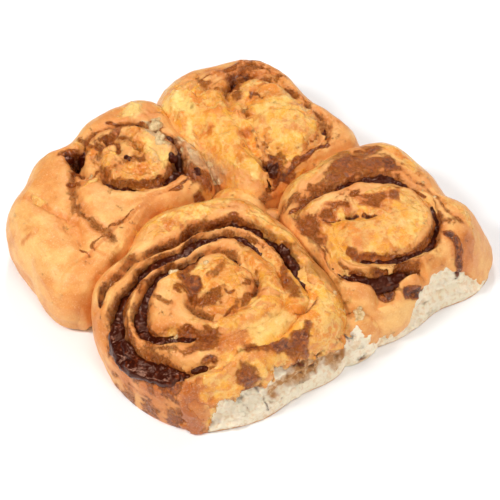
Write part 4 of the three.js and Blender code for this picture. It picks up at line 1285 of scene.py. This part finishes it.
def make_curds(block):
    """Small lumps of cheese scattered along plan paths, half sunk in the surface below them."""
    rng = np.random.default_rng(CURD_SEED)
    grids = []
    for path, count, spread, small, large in CURDS:
        path = np.array(path)
        for _ in range(count):
            at = rng.uniform(0, len(path) - 1)
            i = min(int(at), len(path) - 2)
            x, y = path[i] + (at - i) * (path[i + 1] - path[i]) + rng.normal(0, spread / 2, 2)
            a, b = rng.uniform(small, large, 2)
            z = height_at(block, x, y, 0.3)
            curd = egg(x, y, a, b, rng.uniform(0, 180), z + 0.22 * min(a, b), z - 2.0, 14, 24)
            grids.append(lumpy(curd, 0.9))
    points, faces = joined(grids)
    masks = sheet_masks(points)
    masks["cream"] = np.maximum(masks["cream"], 0.75)
    masks["pale"] = np.maximum(masks["pale"], 0.9)
    masks["toast"], masks["stain"] = 0.4 * masks["toast"], 0.2 * masks["stain"]
    return mesh_object("cheese_curds", points, faces, "cheese", masks)


# ------------------------------------------------------------------ settings, operators, panel
class ScrollSettings(bpy.types.PropertyGroup):
    """Sizes and colours of the scrolls."""
    turns: IntProperty(
        name="Steps round", description="Points round each scroll", default=560, min=120, max=620)
    groove_depth: FloatProperty(
        name="Groove depth", description="Depth of the slot that holds the filling, mm",
        default=5.0, min=0.5, max=8)


for _name, (_label, _rgb) in COLOURS.items():
    ScrollSettings.__annotations__[_name] = FloatVectorProperty(
        name=_label, description=_label + " colour", subtype="COLOR", size=4, min=0, max=1,
        default=srgb(*_rgb))


class SCROLLS_OT_finishes(bpy.types.Operator):
    """Makes the three finishes"""
    bl_idname, bl_label = "scrolls.finishes", "Finishes"

    def execute(self, context):
        for name, paint in FINISHES.values():
            material(name, paint)
        return {"FINISHED"}


class SCROLLS_OT_dough(bpy.types.Operator):
    """Builds the four dough scrolls and the dough in their seams"""
    bl_idname, bl_label = "scrolls.dough", "Dough"

    def execute(self, context):
        block = Block(context.scene.scrolls)
        for key in SCROLLS:
            make_dough(block, key)
        make_seams()
        return {"FINISHED"}


class SCROLLS_OT_filling(bpy.types.Operator):
    """Builds the filling in the spiral grooves and its lumps"""
    bl_idname, bl_label = "scrolls.filling", "Filling"

    def execute(self, context):
        block = Block(context.scene.scrolls)
        for key in SCROLLS:
            make_filling(block, key)
        make_lumps(block)
        return {"FINISHED"}


class SCROLLS_OT_cheese(bpy.types.Operator):
    """Builds the melted cheese sheets and the curds"""
    bl_idname, bl_label = "scrolls.cheese", "Cheese"

    def execute(self, context):
        block = Block(context.scene.scrolls)
        for key in ("front", "right", "back"):
            make_cheese(block, key)
        make_middle_cheese(block)
        make_curds(block)
        return {"FINISHED"}


def aimed(name, data, place, away):
    """An object at a place in metres that looks against the given direction."""
    o = bpy.data.objects.new(name, data)
    o.location = place
    o.rotation_euler = (-away).to_track_quat("-Z", "Y").to_euler()
    bpy.context.scene.collection.objects.link(o)
    return o


class SCROLLS_OT_stage(bpy.types.Operator):
    """Makes the floor, the lights and the camera"""
    bl_idname, bl_label = "scrolls.stage", "Stage"

    def execute(self, context):
        scene = context.scene
        bpy.ops.mesh.primitive_plane_add(size=FLOOR_SIZE, location=(0, 0, -FLOOR_GAP))
        floor = context.object
        floor.name = "floor"
        floor.data.materials.append(material("floor_pale", paint_floor))
        world = bpy.data.worlds.new("studio")
        scene.world = world
        world.use_nodes = True
        sky = world.node_tree.nodes["Background"].inputs
        sky["Color"].default_value, sky["Strength"].default_value = SKY_COLOUR, SKY_STRENGTH
        for name, place, size, watts in LAMPS:
            lamp = bpy.data.lights.new(name, "AREA")
            lamp.energy, lamp.size = watts, size
            aimed(name, lamp, place, Vector(place))
        cam = bpy.data.cameras.new("camera")
        cam.lens, cam.sensor_width = LENS, SENSOR
        az, el = math.radians(CAMERA_TURN), math.radians(CAMERA_RISE)
        back = Vector((math.sin(az) * math.cos(el), -math.cos(az) * math.cos(el), math.sin(el)))
        aim = Vector((SHIFT[0] * MM, (SHIFT[1] + CAMERA_AIM[0]) * MM, CAMERA_AIM[1] * MM))
        scene.camera = aimed("camera", cam, aim + back * CAMERA_AWAY, back)
        scene.view_settings.view_transform = "Standard"
        return {"FINISHED"}


class SCROLLS_PT_panel(bpy.types.Panel):
    """Lists the operators and the sizes"""
    bl_idname, bl_label, bl_category = "SCROLLS_PT_panel", "Scrolls", "Scrolls"
    bl_space_type, bl_region_type = "VIEW_3D", "UI"

    def draw(self, context):
        for op in OPERATORS:
            self.layout.operator(op.bl_idname)
        for key in ScrollSettings.__annotations__:
            self.layout.prop(context.scene.scrolls, key)


OPERATORS = (SCROLLS_OT_finishes, SCROLLS_OT_dough, SCROLLS_OT_filling, SCROLLS_OT_cheese, SCROLLS_OT_stage)
CLASSES = (ScrollSettings,) + OPERATORS + (SCROLLS_PT_panel,)


def register():
    """Registers the classes and hangs the settings on the scene."""
    for c in CLASSES:
        bpy.utils.register_class(c)
    bpy.types.Scene.scrolls = PointerProperty(type=ScrollSettings)


def unregister():
    """Undoes register."""
    del bpy.types.Scene.scrolls
    for c in reversed(CLASSES):
        bpy.utils.unregister_class(c)


def main():
    """Registers the add-on and calls the operators in order."""
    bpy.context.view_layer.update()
    register()
    for op in OPERATORS:
        group, name = op.bl_idname.split(".")
        getattr(getattr(bpy.ops, group), name)()


if __name__ == "__main__":
    main()
